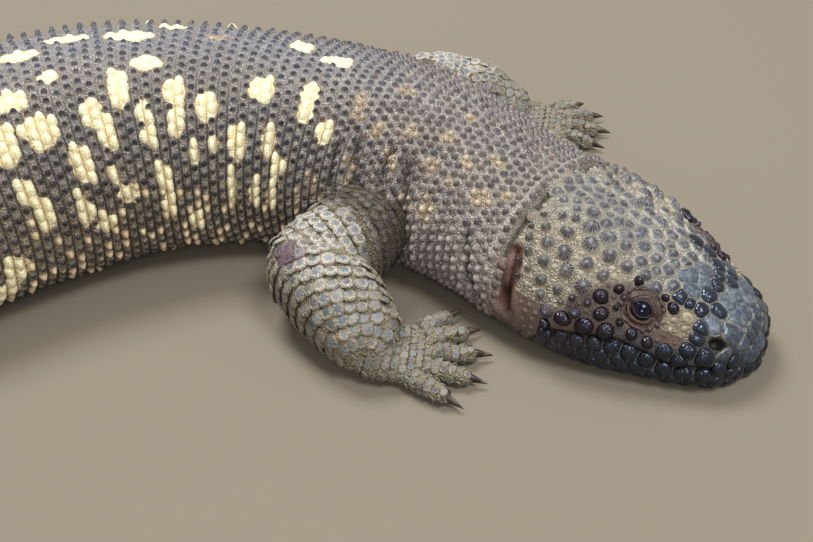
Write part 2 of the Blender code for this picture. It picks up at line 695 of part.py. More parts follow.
def make_foot(name, plan):
    """The palm and its toes as one solid, cut clear of the leg, and the claws at their tips."""
    foot = limb(name + "_foot", plan["palm"], PALM_SIDES)
    knuckles = Vector(plan["palm"][-1][:3])
    run = knuckles - Vector(plan["palm"][0][:3])
    across = Vector((-run.y, run.x, 0)).normalized()
    if plan["digits"][0] < plan["digits"][-1]:
        across = -across
    toes = []
    claws = []
    for number, (angle, reach) in enumerate(zip(plan["digits"], plan["reach"]), start=1):
        root = knuckles + across * TOE_SPREAD * (MIDDLE_TOE - number)
        points, ahead = toe_points(root, angle, reach)
        toes.append(limb("toe", points, TOE_SIDES, rounded=(False, False), step=TOE_STEP))
        claws.append(make_claw(name + "_claw_" + str(number), Vector(points[-1][:3]), ahead))
    carve(foot, "UNION", *toes)
    carve(foot, "DIFFERENCE", limb_cutter(plan["lower"]), limb_cutter(plan["upper"]))
    return foot, claws


def make_leg(name, plan, rng):
    """Upper leg, lower leg and foot, each cut clear of what it grows from, and its claws."""
    upper = beaded_limb(name + "_upper", plan["upper"], rng, [plan["lower"]])
    carve(upper, "DIFFERENCE", flank_cutter(name))
    lower = beaded_limb(name + "_lower", plan["lower"], rng, [plan["upper"], plan["palm"]])
    carve(lower, "DIFFERENCE", flank_cutter(name), limb_cutter(plan["upper"]))
    foot, claws = make_foot(name, plan)
    return [upper, lower, foot], claws


def finish(name, colour, roughness):
    """A Principled material with a plain colour."""
    material = bpy.data.materials.new(name)
    material.use_nodes = True
    shader = material.node_tree.nodes["Principled BSDF"]
    shader.inputs["Base Color"].default_value = (*colour, 1.0)
    shader.inputs["Roughness"].default_value = roughness
    return material


def dress(thing, colour, roughness, home):
    """Smooth shading, the piece's own material and its place in the model's collection."""
    thing.data.materials.clear()
    thing.data.materials.append(finish(thing.name, colour, roughness))
    thing.data.shade_smooth()
    thing.data.set_sharp_from_angle(angle=SHARP)
    bpy.context.scene.collection.objects.unlink(thing)
    home.objects.link(thing)


def clear_scene():
    for thing in list(bpy.data.objects):
        bpy.data.objects.remove(thing)


def main():
    clear_scene()
    home = bpy.data.collections.new("beaded_lizard")
    bpy.context.scene.collection.children.link(home)
    rng = random.Random(SEED)
    skin = []
    head = head_loft()
    carve(head, "UNION", *head_scutes(rng))
    open_head(head)
    skin.append(head)
    cuts = (HEAD_END, NECK_END, TORSO_END, *TAIL_CUTS, TAIL_END)
    for (name, columns), start, end in zip(COLUMNS.items(), cuts, cuts[1:]):
        skin.append(beaded_length(name, start, end, columns, rng))
    horn = []
    for name, plan in LEGS.items():
        flesh, claws = make_leg(name, plan, rng)
        skin += flesh
        horn += claws
    for thing in skin:
        dress(thing, *HIDE, home)
    for thing in horn:
        dress(thing, *HORN, home)
    for side in ("left", "right"):
        dress(make_eye(side), *WET_EYE, home)


main()
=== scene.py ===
"""Mexican beaded lizard: skin, beads, head scales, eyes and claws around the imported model.

Lengths inside the functions are in millimetres, in the model's frame: the origin lies on the
floor beneath the shoulders, +X points to the head and the head is turned towards -Y. A place on
the body is given by s, the distance behind the snout, and by an angle that goes from 0 at the
animal's left over 90 at its back to 180 at its right.
"""
import json
import math
import random

import bmesh
import bpy
import numpy as np
from bpy.props import FloatProperty, FloatVectorProperty, IntProperty, PointerProperty
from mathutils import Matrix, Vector
from mathutils.bvhtree import BVHTree
from mathutils.kdtree import KDTree

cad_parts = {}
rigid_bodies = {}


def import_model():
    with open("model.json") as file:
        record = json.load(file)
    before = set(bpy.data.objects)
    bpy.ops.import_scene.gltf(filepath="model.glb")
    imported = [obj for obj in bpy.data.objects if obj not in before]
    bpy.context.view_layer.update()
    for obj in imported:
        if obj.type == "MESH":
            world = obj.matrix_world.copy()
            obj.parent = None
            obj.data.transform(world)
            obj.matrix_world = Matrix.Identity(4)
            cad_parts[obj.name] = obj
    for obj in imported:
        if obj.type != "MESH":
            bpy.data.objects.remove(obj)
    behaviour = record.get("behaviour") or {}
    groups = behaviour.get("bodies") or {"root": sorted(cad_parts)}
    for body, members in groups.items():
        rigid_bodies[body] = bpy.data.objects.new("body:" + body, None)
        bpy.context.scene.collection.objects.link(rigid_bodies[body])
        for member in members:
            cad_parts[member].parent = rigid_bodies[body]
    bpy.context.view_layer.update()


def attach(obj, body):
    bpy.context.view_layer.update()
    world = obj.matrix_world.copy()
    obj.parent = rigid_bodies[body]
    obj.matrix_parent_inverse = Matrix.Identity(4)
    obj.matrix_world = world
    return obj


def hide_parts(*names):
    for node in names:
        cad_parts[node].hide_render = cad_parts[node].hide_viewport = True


bl_info = {
    "name": "Beaded lizard",
    "version": (1, 0, 0),
    "blender": (4, 5, 0),
    "location": "3D View > Sidebar > Lizard",
    "description": "Skin, beads, scales, eyes and claws of a still beaded lizard",
    "category": "Object",
}

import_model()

MM = 0.001
BODY_NODES = ("head", "neck", "torso", "tail_base", "tail_middle", "tail_tip")
LEG_NODES = ("upper", "lower", "foot")
SIDES = ("left", "right")

# The body as a loft along its spine. Columns: distance behind the snout, heading of the spine in
# degrees towards -Y, half width, height of the back, height of the widest point, and the
# roundness powers of the back and of the belly.
BODY = np.array((
    (0, 38, 5, 11, 7, 2, 2),
    (1.2, 38, 9.5, 14, 7.5, 2.1, 2.1),
    (4.5, 38, 15, 17, 7.2, 2.1, 2.3),
    (11, 38, 19.3, 20.5, 7.2, 2.05, 2.5),
    (18, 38, 22.5, 24, 7.6, 2, 2.6),
    (25, 38, 25.6, 27.5, 8.2, 2, 2.6),
    (36, 38, 29.8, 31, 9.6, 2, 2.6),
    (48, 38, 32, 33.5, 11.6, 2.05, 2.5),
    (58, 39, 32, 35, 13, 2.1, 2.5),
    (66, 40, 31, 36, 14, 2.1, 2.4),
    (78, 41, 30, 37.5, 15.5, 2.1, 2.4),
    (93, 39, 31, 41, 17, 2.15, 2.4),
    (113, 28, 34.5, 46, 19, 2.1, 2.4),
    (138, 15, 37, 50, 21, 2.1, 2.5),
    (176, -3, 39.5, 54, 23, 2.1, 2.5),
    (221, -22, 44.5, 57, 22.5, 2.1, 2.5),
    (266, -34, 48, 57, 21, 2.1, 2.5),
    (311, -38, 44, 52, 20, 2.1, 2.5),
    (346, -38, 34, 45, 18, 2.1, 2.4),
    (376, -37, 26, 39, 17, 2.1, 2.3),
    (406, -34, 22, 34, 16, 2, 2.2),
    (461, -24, 20.5, 32, 15, 2, 2.2),
    (521, -6, 18, 28, 13.5, 2, 2.2),
    (581, 12, 14.5, 23, 11, 2, 2.2),
    (636, 26, 10, 16, 7.5, 2, 2.2),
    (671, 30, 6, 9.5, 4.5, 2, 2),
    (686, 32, 2.2, 4, 2, 2, 2),
))
SHOULDERS = 116.0     # s of the point of the spine that lies over the origin
PRESSED = 2.0         # mm of the belly's roundness that the floor presses flat
TAIL_END = 686.0
TAIL_CAP = 2.0        # s runs on by this at the blunt tip of the tail
SNOUT_CAP = 4.0       # s runs on to minus this at the middle of the snout's blunt front
SNOUT_BULGE = 1.4     # mm that the middle of the front stands forward
FINE_STEP = 0.5       # mm between the stations of the loft
ARC_STEP = 2.0        # mm between the sections on which lengths round the body are measured
BELLY_SHARE = 0.35    # how dense the skin's columns are on the belly, against the back

# Rings of beads: distance behind the snout and mm from one ring to the next there, then the same
# with mm from one bead to the next round a ring.
RING_PITCH = (
    (60, 2.8), (100, 2.9), (150, 3.4), (200, 3.55),
    (380, 3.7), (560, 3.6), (640, 3), (686, 2.2),
)
BEAD_PITCH = (
    (60, 2.9), (110, 3.05), (150, 3.5), (200, 3.6),
    (380, 3.6), (560, 3.3), (640, 2.6), (686, 1.7),
)
RINGS_START = 63.0
ROWS_PER_RING = 4
COLUMNS = 72
HEAD_ROW = 1.0        # mm between the skin's rows on the head, before they are halved
HEAD_BACK = 66.0
RIDGE_ROUND = 0.85    # power that rounds the ridges between creases
SHALLOW = 0.35        # mm that the creases between rings sink on the back

# The mouth line, mm behind the snout and mm above the floor.
MOUTH = ((0, 7.4), (6, 8.3), (14, 8.4), (22, 11.4), (30, 13.4), (38, 12.6), (50, 11))
MOUTH_CORNER = 47.0
MOUTH_GROOVE = 1.5    # mm that the line is deep
# Places on the head: mm behind the snout and degrees above the side of the head.
EYE_AT = (25.0, 41.5)
NOSTRIL_AT = (6.0, 42.0)
# Paths on the head, in the same terms: the middle of the maroon skin behind the eye, the brown fold
# between the eye's corner and the lip, the nostril's painted shade, near black, and the slit of the ear.
EYE_SKIN = ((24.5, 44), (31, 38), (37, 22))
LIP_SKIN = ((13.5, 30), (21.5, 30))
NOSTRIL_SHADE = ((5, 42), (8, 42))
EAR_FOLD = ((58, 2), (58, 11), (58, 20), (58.5, 30), (59.5, 38))
EYE_RADIUS = 4.0
EYE_SUNK = 3.1        # mm from the skin in to the middle of the eyeball
EYE_PIT = 4.2         # mm that the skin sinks under the eyeball
NOSTRIL_SIZE = (1.85, 1.3)    # half length and half height, mm
NOSTRIL_PIT = 3.0
EAR_PIT = 2.4
EAR_RIPPLE = 1.25     # mm from one fine fold round the ear to the next
SORE_AT = (-31.0, -52.0, 24.0)    # the purplish patch at the elbow

# Legs: joint points as x, y, z with the half width and half height of the limb there, the
# directions of the toes in degrees and their lengths.
LEGS = {
    "foreleg_right": {
        "upper": ((-6, -22, 19, 12.5, 12.5), (-15, -35, 18, 13, 13.5), (-25, -46, 16, 12.5, 13)),
        "lower": ((-26, -47, 16, 12.5, 13), (-20, -56, 14, 12.5, 12.5), (-12, -66, 10, 11, 10)),
        "palm": ((-10, -67, 6, 10, 6.5), (-4, -68, 4.5, 10.5, 5.5), (2, -68.5, 3.5, 9, 4.5)),
        "digits": (44, 24, 5, -14, -36),
        "reach": (10, 13, 14.5, 13.5, 10),
    },
    "foreleg_left": {
        "upper": ((-2, 22, 22, 13, 13), (5, 40, 20, 13, 13), (12, 53, 17, 11.5, 12)),
        "lower": ((12, 53, 17, 11.5, 12), (24, 54, 13.5, 10.5, 11), (35, 52, 9, 9, 8)),
        "palm": ((37, 52, 6, 9, 6.5), (44, 51, 4.5, 10.5, 5.5), (50, 50, 3.5, 9, 4.5)),
        "digits": (-42, -22, -4, 16, 38),
        "reach": (10, 13, 14.5, 13.5, 10),
    },
    "hind_leg_right": {
        "upper": ((-200, -84, 22, 15, 15), (-180, -102, 21, 15.5, 15), (-163, -118, 18, 13, 13)),
        "lower": ((-163, -118, 18, 13, 13), (-170, -130, 13, 11, 11), (-178, -141, 9, 8.5, 8)),
        "palm": ((-178, -142, 6, 9, 6.5), (-171, -148, 4.5, 10.5, 5.5), (-166, -152, 3.5, 9.5, 4.5)),
        "digits": (14, -9, -31, -54, -86),
        "reach": (10, 14, 17, 18.5, 12),
    },
    "hind_leg_left": {
        "upper": ((-218, -53, 22, 15, 15), (-229, -28, 21, 15.5, 15), (-224, -2, 18, 13, 13)),
        "lower": ((-224, -2, 18, 13, 13), (-233, 8, 13, 11, 11), (-244, 16, 9, 8.5, 8)),
        "palm": ((-244, 17, 6, 9, 6.5), (-241, 25, 4.5, 10.5, 5.5), (-239, 31, 3.5, 9.5, 4.5)),
        "digits": (30, 54, 76, 98, 130),
        "reach": (10, 14, 17, 18.5, 12),
    },
}
LIMB_POWER = 2.2
# The skin of each length of a leg: mm from row to row, columns round it and depth of its creases.
LIMB_GRIDS = {
    "upper": (1.2, 36, 0.5),
    "lower": (1.2, 36, 0.5),
    "palm": (1.4, 30, 0.15),
    "toe": (1.6, 12, 0.12),
}
TOE_ROOT = 3.0
TOE_SPREAD = 4.3
TOE_RADII = (2.9, 2.7, 2.3)
TOE_HEIGHTS = (3.2, 3.6, 2.6)
CLAW_LENGTH = 6.5
CLAW_ROOT = 1.5       # mm of the claw that are inside the toe
CLAW_RADIUS = 1.7
LEG_RING = 3.6
LEG_BEAD_PITCH = 3.15
LEG_SLANTS = {"upper": 3.0, "lower": 6.0, "palm": 0.0, "toe": 0.0}    # mm
# Row distance and bead distance of each length of a leg. The second pair of the upper one is for
# the finer scales near the body.
LEG_WEAVES = {
    "upper": ((LEG_RING, LEG_BEAD_PITCH), (2.4, 2.3)),
    "lower": ((LEG_RING, LEG_BEAD_PITCH),),
    "palm": ((2.1, 2.1),),
    "toe": ((2.1, 2.1),),
}
FINE_SCALES = 2.5     # beads of the legs that stand closer than this are small flat scales
FORE_AND_HIND = -100.0    # x between the forelegs and the hind legs

# Pale blotches on the side and back that the eye sees first: mm behind the snout, mm round the
# skin from the middle of the back (plus is the right side), half length along the body and half
# length round it.
BLOTCHES = (
    (230.8, 31.3, 5.6, 5), (243.5, 33, 4.5, 6.5), (236.4, 19.8, 4.5, 3.2), (223.6, 12.4, 3, 2.4),
    (221.5, 42.5, 3.6, 5.2), (212.5, 27.5, 3.6, 5), (209.6, 34, 2.8, 5), (203, 20, 2.6, 6.2),
    (194, 10, 4.2, 3.6), (185, 21.5, 3.8, 4.4), (174.8, 25.9, 3.6, 4.6), (185.2, 31.5, 2.6, 4.4),
    (195.5, 29.5, 1.9, 3.8), (194.8, 36, 1.8, 2.6), (157.6, 17.8, 4, 4.2), (163.6, 35.9, 3.4, 5.2),
    (152.4, 33.6, 2.4, 4.2), (179.6, 40.5, 1.8, 3.2), (172.4, 37, 1.9, 2.6), (192.2, 47.5, 3, 4),
    (191.4, 54.5, 2, 5), (207.5, 52.3, 4, 2.6), (211.6, 46.1, 1.8, 2.2), (241.2, 47, 2.6, 3.6),
    (238, 54, 3, 4.6), (224.8, 55.5, 2.8, 5), (218.4, 60.8, 3.5, 2.4), (199.6, -6.4, 6, 3.2),
    (216.4, -7.5, 5, 2.8), (229.2, 0, 5, 2.6), (187.6, -13.4, 3.5, 2), (150.8, -6.5, 3.2, 3.6),
    (138, -1.5, 3.6, 3.2), (142, 16.5, 2.6, 3.4), (141.6, 22.5, 2.2, 3), (133.2, 26.9, 2.4, 3.4),
    (181.2, 60.9, 2.8, 3), (147.6, 40.9, 2.2, 3.4), (156.4, 49.6, 1.9, 4.6),
    (165.2, 50, 1.9, 5.6), (149.2, 50.1, 2, 4), (251.6, 67.7, 4, 3.4), (255.6, 75, 4, 3),
)
# Weaker orange-cream spots, in the same terms.
FAINT_BLOTCHES = (
    (174.8, -5.3, 3.4, 2.2), (125.6, 14, 2.4, 3), (125.6, 18.6, 2.2, 2.4), (116.4, 20.2, 3, 3),
    (106.8, 15.6, 3.2, 2), (115.6, 1.4, 3, 2), (107.6, 25.8, 2.8, 2.6), (94, 20.2, 2.4, 3.2),
    (96, 10, 2.8, 2.2), (86, 12.7, 2, 2), (78.8, 6.7, 2.4, 2), (94.8, -2, 2.2, 2),
    (89, 29.5, 2.2, 4.2), (76, 19.2, 2.6, 2.4), (133.2, 41.8, 2, 3), (120.4, 37.9, 2, 2.6),
    (121.2, 31.9, 2, 2.4), (138, 49.7, 2, 5), (130, 47.2, 1.8, 4), (144.4, 38.6, 2, 2.4),
    (86.4, 20.5, 2, 2.2), (70.4, 15, 2.2, 2), (97.2, 35.2, 2.8, 4),
)
# The lists above hold from this s to this s, and beyond this arc.
KNOWN_SIDE = (60.0, 252.0, -27.0)


def linear(code):
    """An sRGB hex colour as linear red, green and blue."""
    values = [int(code[k:k + 2], 16) / 255 for k in (1, 3, 5)]
    return tuple(v / 12.92 if v <= 0.04045 else ((v + 0.055) / 1.055) ** 2.4 for v in values)


class LizardSizes(bpy.types.PropertyGroup):
    """Sizes of the coat, in metres."""

    bead_width: FloatProperty(
        name="Bead width", description="Width of a bead of the trunk", default=0.0024, unit="LENGTH"
    )
    bead_rise: FloatProperty(
        name="Bead rise", description="Height of a bead over the skin", default=0.00115, unit="LENGTH"
    )
    leg_bead_width: FloatProperty(
        name="Leg bead width", description="Width of a bead of the legs", default=0.0045, unit="LENGTH"
    )
    crease_depth: FloatProperty(
        name="Crease depth", description="Depth of the creases between rings on the flank",
        default=0.00155, unit="LENGTH"
    )
    granule_width: FloatProperty(
        name="Granule width", description="Width of the granules between the beads",
        default=0.00075, unit="LENGTH"
    )
    seed: IntProperty(name="Seed", description="Seed of the small differences between beads", default=5)


class LizardColours(bpy.types.PropertyGroup):
    """Colours of the coat."""

    hide: FloatVectorProperty(
        name="Hide", description="Dusty skin between the beads of the trunk",
        subtype="COLOR", default=linear("#aaa29a")
    )
    pale: FloatVectorProperty(
        name="Pale blotches", description="Cream of the blotches",
        subtype="COLOR", default=linear("#f5eabf")
    )
    bead: FloatVectorProperty(
        name="Bead", description="Horn of the dark beads", subtype="COLOR", default=linear("#2a2423")
    )
    dust: FloatVectorProperty(
        name="Dust", description="Dry dust on the head and legs", subtype="COLOR", default=linear("#b0a386")
    )
    snout: FloatVectorProperty(
        name="Snout", description="Horn of the snout and lips", subtype="COLOR", default=linear("#23292e")
    )
    lid: FloatVectorProperty(
        name="Eyelid", description="Bare skin round the eyes and in the ears",
        subtype="COLOR", default=linear("#44302a")
    )


def curve_through(x, y, q):
    """A smooth curve through the points that never overshoots between them."""
    step = np.diff(x)
    slope = np.diff(y) / step
    bend = np.zeros(len(y))
    bend[0] = slope[0]
    bend[-1] = slope[-1]
    for k in range(1, len(y) - 1):
        if slope[k - 1] * slope[k] > 0:
            before = 2 * step[k] + step[k - 1]
            after = step[k] + 2 * step[k - 1]
            bend[k] = (before + after) / (before / slope[k - 1] + after / slope[k])
    k = np.clip(np.searchsorted(x, q) - 1, 0, len(step) - 1)
    t = np.clip((q - x[k]) / step[k], 0, 1)
    start = y[k] * (1 + 2 * t) * (1 - t) ** 2 + step[k] * bend[k] * t * (1 - t) ** 2
    finish = y[k + 1] * t * t * (3 - 2 * t) + step[k] * bend[k + 1] * t * t * (t - 1)
    return start + finish


FINE = np.arange(0.0, TAIL_END + FINE_STEP, FINE_STEP)
STATIONS = np.stack([curve_through(BODY[:, 0], BODY[:, c], FINE) for c in range(1, 7)])


def lay_spine():
    """The spine on the floor plan, with the shoulders over the origin."""
    heading = np.radians(STATIONS[0])
    ahead = np.stack([np.cos(heading), -np.sin(heading)], axis=1)
    steps = (ahead[1:] + ahead[:-1]) / 2 * FINE_STEP
    plan = -np.concatenate([[[0.0, 0.0]], np.cumsum(steps, axis=0)])
    return plan - plan[int(SHOULDERS / FINE_STEP)]


PLAN = lay_spine()


def table_at(table, x):
    """A value read off a short table of places and values."""
    rows = np.array(table)
    return np.interp(x, rows[:, 0], rows[:, 1])


def ramp(low, high, x):
    """A smooth climb from 0 at one limit to 1 at the other, whichever of them is higher."""
    t = np.clip((x - low) / (high - low), 0, 1)
    return t * t * (3 - 2 * t)


def rounded(wave, power):
    """A sine or cosine bent so that the section it draws gets rounder or squarer."""
    return np.sign(wave) * np.abs(wave) ** power


def skin_at(s, angle):
    """Points of the smooth body at arrays of s and angle."""
    s, angle = np.broadcast_arrays(np.asarray(s, float), np.asarray(angle, float))
    inside = np.clip(s, 0, TAIL_END)
    heading, half, back, wide, top_power, low_power = [np.interp(inside, FINE, row) for row in STATIONS]
    heading = np.radians(heading)
    x = np.interp(inside, FINE, PLAN[:, 0])
    y = np.interp(inside, FINE, PLAN[:, 1])
    turn = np.radians(angle)
    over = np.sin(turn) >= 0
    power = np.where(over, 2 / top_power, 2 / low_power)
    across = half * rounded(np.cos(turn), power)
    height = np.where(over, back - wide, wide + PRESSED) * rounded(np.sin(turn), power)
    part = np.clip(1 + np.minimum(s, 0) / SNOUT_CAP, 0, 1) * np.clip(1 - (s - TAIL_END) / TAIL_CAP, 0, 1)
    ahead = np.where(s < 0, SNOUT_BULGE, np.where(s > TAIL_END, -TAIL_CAP, 0)) * np.sqrt(1 - part ** 2)
    forward = (np.cos(heading), -np.sin(heading))
    low = np.maximum(wide + height * part, 0)
    px = x - forward[1] * across * part + forward[0] * ahead
    py = y + forward[0] * across * part + forward[1] * ahead
    return np.stack([px, py, low], axis=-1)


def unit(vectors):
    """Vectors at length 1."""
    return vectors / np.maximum(np.linalg.norm(vectors, axis=-1, keepdims=True), 1e-9)


def skin_frame(s, angle):
    """Points of the smooth body with the directions ahead, round and out of it there."""
    s, angle = np.broadcast_arrays(np.asarray(s, float), np.asarray(angle, float))
    ahead = unit(skin_at(s - 0.4, angle) - skin_at(s + 0.4, angle))
    around = unit(skin_at(s, angle + 1.5) - skin_at(s, angle - 1.5))
    out = unit(np.cross(around, ahead))
    return skin_at(s, angle), ahead, np.cross(ahead, out), out


class Arcs:
    """Lengths round the body from the middle of the back, as tables over s and angle."""

    def __init__(self):
        self.s = np.arange(0.0, TAIL_END + ARC_STEP, ARC_STEP)
        self.angle = np.linspace(-90, 270, 361)
        back = 180
        points = skin_at(self.s[:, None], self.angle[None, :])
        runs = np.linalg.norm(np.diff(points, axis=1), axis=2)
        length = self.added_up(runs)
        self.length = length - length[:, back:back + 1]
        fine = np.where((self.angle > -25) & (self.angle < 205), 1.0, BELLY_SHARE)
        share = self.added_up(runs * (fine[1:] + fine[:-1]) / 2)
        self.share = share / share[:, -1:]

    def added_up(self, runs):
        """Sums of the runs from the first column to each one."""
        return np.concatenate([np.zeros((len(self.s), 1)), np.cumsum(runs, axis=1)], axis=1)

    def rows(self, s):
        """The section before each s, and the share of the way to the next one."""
        place = np.clip(np.asarray(s, float) / ARC_STEP, 0, len(self.s) - 1.001)
        return place.astype(int), place - place.astype(int)

    def section(self, table, s):
        """A table's row at one s, from the two rows nearest to it."""
        row, part = self.rows(s)
        return table[row] * (1 - part) + table[row + 1] * part

    def arc(self, s, angle):
        """Length from the middle of the back to an angle, plus towards the right side."""
        row, part = self.rows(s)
        column = np.clip((np.asarray(angle, float) + 90), 0, 359.999)
        low = column.astype(int)
        over = column - low
        first = self.length[row, low] * (1 - over) + self.length[row, low + 1] * over
        second = self.length[row + 1, low] * (1 - over) + self.length[row + 1, low + 1] * over
        return first * (1 - part) + second * part

    def angle_at(self, s, lengths):
        """Angles at lengths from the middle of the back on one section."""
        return np.interp(lengths, self.section(self.length, s), self.angle)

    def column_angles(self, s):
        """Angles of the skin's columns on one section, closer on the back and sides."""
        return np.interp(np.arange(COLUMNS + 1) / COLUMNS, self.section(self.share, s), self.angle)


ARCS = Arcs()


def ring_counts():
    """How many rings lie between the first one and each fine step of s."""
    pitch = table_at(RING_PITCH, FINE)
    count = np.concatenate([[0.0], np.cumsum(FINE_STEP / ((pitch[1:] + pitch[:-1]) / 2))])
    return count - np.interp(RINGS_START, FINE, count)


RING_COUNT = ring_counts()
RINGS = int(RING_COUNT[-1])


def ring_s(number):
    """The s at which a ring lies, by its number."""
    return np.interp(number, RING_COUNT, FINE)


def off_belly(angle):
    """1 on the back and sides, fading to 0 at the middle of the belly, where the skin closes."""
    return ramp(0, 35, 180 - np.abs(np.asarray(angle) - 90))


def wander(s, arc, angle):
    """How far the rings wander along the body, in mm."""
    sway = 0.8 * np.sin(arc / 17 + s / 31) + 0.5 * np.sin(arc / 8.3 - s / 23 + 1.3)
    return sway * ramp(70, 110, s) * ramp(TAIL_END, 600, s) * off_belly(angle)


def distance_to_path(s, arc, path):
    """Distance on the unrolled skin to a path of s and arc points."""
    nearest = np.full(np.shape(s), 1e9)
    for (s0, a0), (s1, a1) in zip(path, path[1:]):
        run = (s1 - s0, a1 - a0)
        size = run[0] ** 2 + run[1] ** 2
        part = np.clip(((s - s0) * run[0] + (arc - a0) * run[1]) / size, 0, 1)
        nearest = np.minimum(nearest, np.hypot(s - s0 - run[0] * part, arc - a0 - run[1] * part))
    return nearest


# Folds of the neck: path over s and arc, half width and depth in mm. Each is made on both sides.
FOLDS = (
    (((62, 7), (61.5, 12), (62, 22), (62, 29), (60.5, 37), (57.5, 43)), 1.5, 1.6),
    (((74, 30), (71, 40), (66, 48)), 1.6, 1.1),
    (((101, 24), (97, 33), (94, 44)), 2.2, 2.2),
    (((121, 26), (118, 36), (110, 42)), 1.8, 1.6),
    (((128, 30), (126, 40), (120, 46)), 1.5, 1.2),
    (((109, 24), (107, 34), (104, 42)), 1.6, 1.3),
)


def folds(s, arc):
    """Depth of the skin's folds, and the painted shade in them."""
    sink = np.zeros(np.shape(s))
    dark = np.zeros(np.shape(s))
    for path, width, depth in FOLDS:
        away = distance_to_path(s, np.abs(arc), path)
        sink -= depth * np.exp(-(away / width) ** 2)
        sink += 0.45 * depth * np.exp(-((away - 2.2 * width) / width) ** 2)
        dark = np.maximum(dark, np.exp(-(away / (0.7 * width)) ** 2))
    return sink, dark


def flank(s, arc):
    """How deep the creases between rings are, from 0 on the back to 1 on the hollow flank."""
    side = ramp(5, 40, np.abs(arc))
    return side * np.where(arc > 0, 1.0, 0.45) * ramp(45, 150, s) * ramp(420, 360, s)


def groove_depth(s, angle, depth):
    """Depth of the creases between rings, in mm."""
    near_floor = ramp(8, 22, skin_at(s, angle)[..., 2])
    return (SHALLOW + flank(s, ARCS.arc(s, angle)) * (depth - SHALLOW)) * near_floor


def relief(s, angle, depth):
    """Height of the skin over the smooth body of the neck, trunk and tail, and the painted shade in its
    creases and folds.
    """
    arc = ARCS.arc(s, angle)
    count = np.interp(s, FINE, RING_COUNT)
    crest = np.abs(np.sin(math.pi * count))
    held = ramp(RINGS_START - 1, RINGS_START + 4, s)
    groove = groove_depth(s, angle, depth) * (1 - crest ** RIDGE_ROUND)
    # Painted shade: the colour darkens towards the bottom of each crease between rings.
    crease = (1 - crest) ** 1.5
    waves = 0.35 * np.sin(s / 19 + 0.7) * np.sin(arc / 13) + 0.25 * np.sin(arc / 6.5 + s / 11)
    sink, dark = folds(s, arc)
    waves = waves * ramp(70, 100, s) * ramp(620, 500, s)
    height = (waves + sink - groove * held) * off_belly(angle)
    return height, np.maximum(crease * held * (0.35 + 0.65 * flank(s, arc)), dark)


def mouth_angle(s):
    """Degrees above the side of the head at which the mouth line crosses a section."""
    rows = np.array(MOUTH)
    s = np.clip(s, 0, MOUTH_CORNER)
    height = curve_through(rows[:, 0], rows[:, 1], s)
    _, _, back, wide, top_power, low_power = [np.interp(s, FINE, row) for row in STATIONS]
    up = np.clip((height - wide) / (back - wide), 0, 1) ** (top_power / 2)
    down = np.clip((wide - height) / (wide + PRESSED), 0, 1) ** (low_power / 2)
    return np.degrees(np.arcsin(up)) - np.degrees(np.arcsin(down))


def side_angle(above, side):
    """The angle round the body of a place so many degrees above the side of the head."""
    return above if side == "left" else 180 - above


def feature(at, side):
    """Point and directions ahead, up and out of the head at a feature of one side."""
    point, ahead, around, out = skin_frame(at[0], side_angle(at[1], side))
    up = around if around[2] > 0 else -around
    return point, ahead, up, out


def head_relief(s, angle, points):
    """Height of the head's skin over the smooth head, with its pits and grooves, and the painted shade in
    the ear, along the mouth line and in the nostrils.
    """
    arc = ARCS.arc(s, angle)
    away = ear_distance(s, arc)
    ripple = 0.28 * np.cos(2 * math.pi * away / EAR_RIPPLE) * ramp(3.2, 2.2, away)
    height = ripple - EAR_PIT * ramp(2.4, 0.6, away)
    # Painted shade in the ear's pit and in the troughs of its fine folds.
    dark = np.clip(ramp(1.0, 0.3, away) + 0.5 * ramp(0.1, -0.25, ripple), 0, 1)
    away = np.abs(below_mouth(s, arc)) + 100 * ramp(MOUTH_CORNER, MOUTH_CORNER + 2, s)
    away = np.where(np.minimum(angle, 180 - angle) < -80, 100, away)
    height -= MOUTH_GROOVE * np.exp(-(away / 0.8) ** 2)
    # Painted shade along the groove of the mouth line.
    dark = np.maximum(dark, np.exp(-away ** 2))
    for side in SIDES:
        away = np.linalg.norm(points - feature(EYE_AT, side)[0], axis=1)
        height -= EYE_PIT * ramp(5.4, 4.0, away)
        point, ahead, up, _ = feature(NOSTRIL_AT, side)
        long, high = NOSTRIL_SIZE
        away = np.hypot((points - point) @ ahead / long, (points - point) @ up / high)
        height -= NOSTRIL_PIT * ramp(1.25, 0.8, away)
        # Painted shade in the nostril's pit.
        dark = np.maximum(dark, ramp(1.5, 1.15, away))
    return height, dark


def param_grid(rows, columns):
    """A flat grid whose points hold their row and column as x and y."""
    bm = bmesh.new()
    bmesh.ops.create_grid(bm, x_segments=rows, y_segments=columns, size=0.5)
    bmesh.ops.translate(bm, vec=(0.5, 0.5, 0), verts=bm.verts)
    bmesh.ops.scale(bm, vec=(rows, columns, 1), verts=bm.verts)
    return bm


def places(bm):
    """Rows and columns of a flat grid's points."""
    flat = np.array([v.co[:2] for v in bm.verts])
    return flat[:, 0], flat[:, 1]


def lay(bm, points):
    """Moves a bmesh's points to an array of places in mm."""
    for vert, point in zip(bm.verts, points):
        vert.co = point


def close(bm):
    """Joins a laid grid's first column to its last, and each end row to one point."""
    bmesh.ops.remove_doubles(bm, verts=bm.verts, dist=0.002)
    bmesh.ops.dissolve_degenerate(bm, edges=bm.edges, dist=0.001)
    bmesh.ops.recalc_face_normals(bm, faces=bm.faces)


def body_rows():
    """The s of each row of the body's skin, from the snout's front to the tip of the tail."""
    cap = -SNOUT_CAP * np.array([1.0, 0.93, 0.75, 0.5, 0.25])
    head = np.arange(0.0, HEAD_BACK, HEAD_ROW)
    first = math.ceil(float(np.interp(HEAD_BACK, FINE, RING_COUNT)) * ROWS_PER_RING)
    rings = ring_s(np.arange(first, RINGS * ROWS_PER_RING + 1) / ROWS_PER_RING)
    end = TAIL_END + TAIL_CAP * np.array([0.0, 0.5, 0.8, 1.0])
    return np.concatenate([cap, head, rings, end])


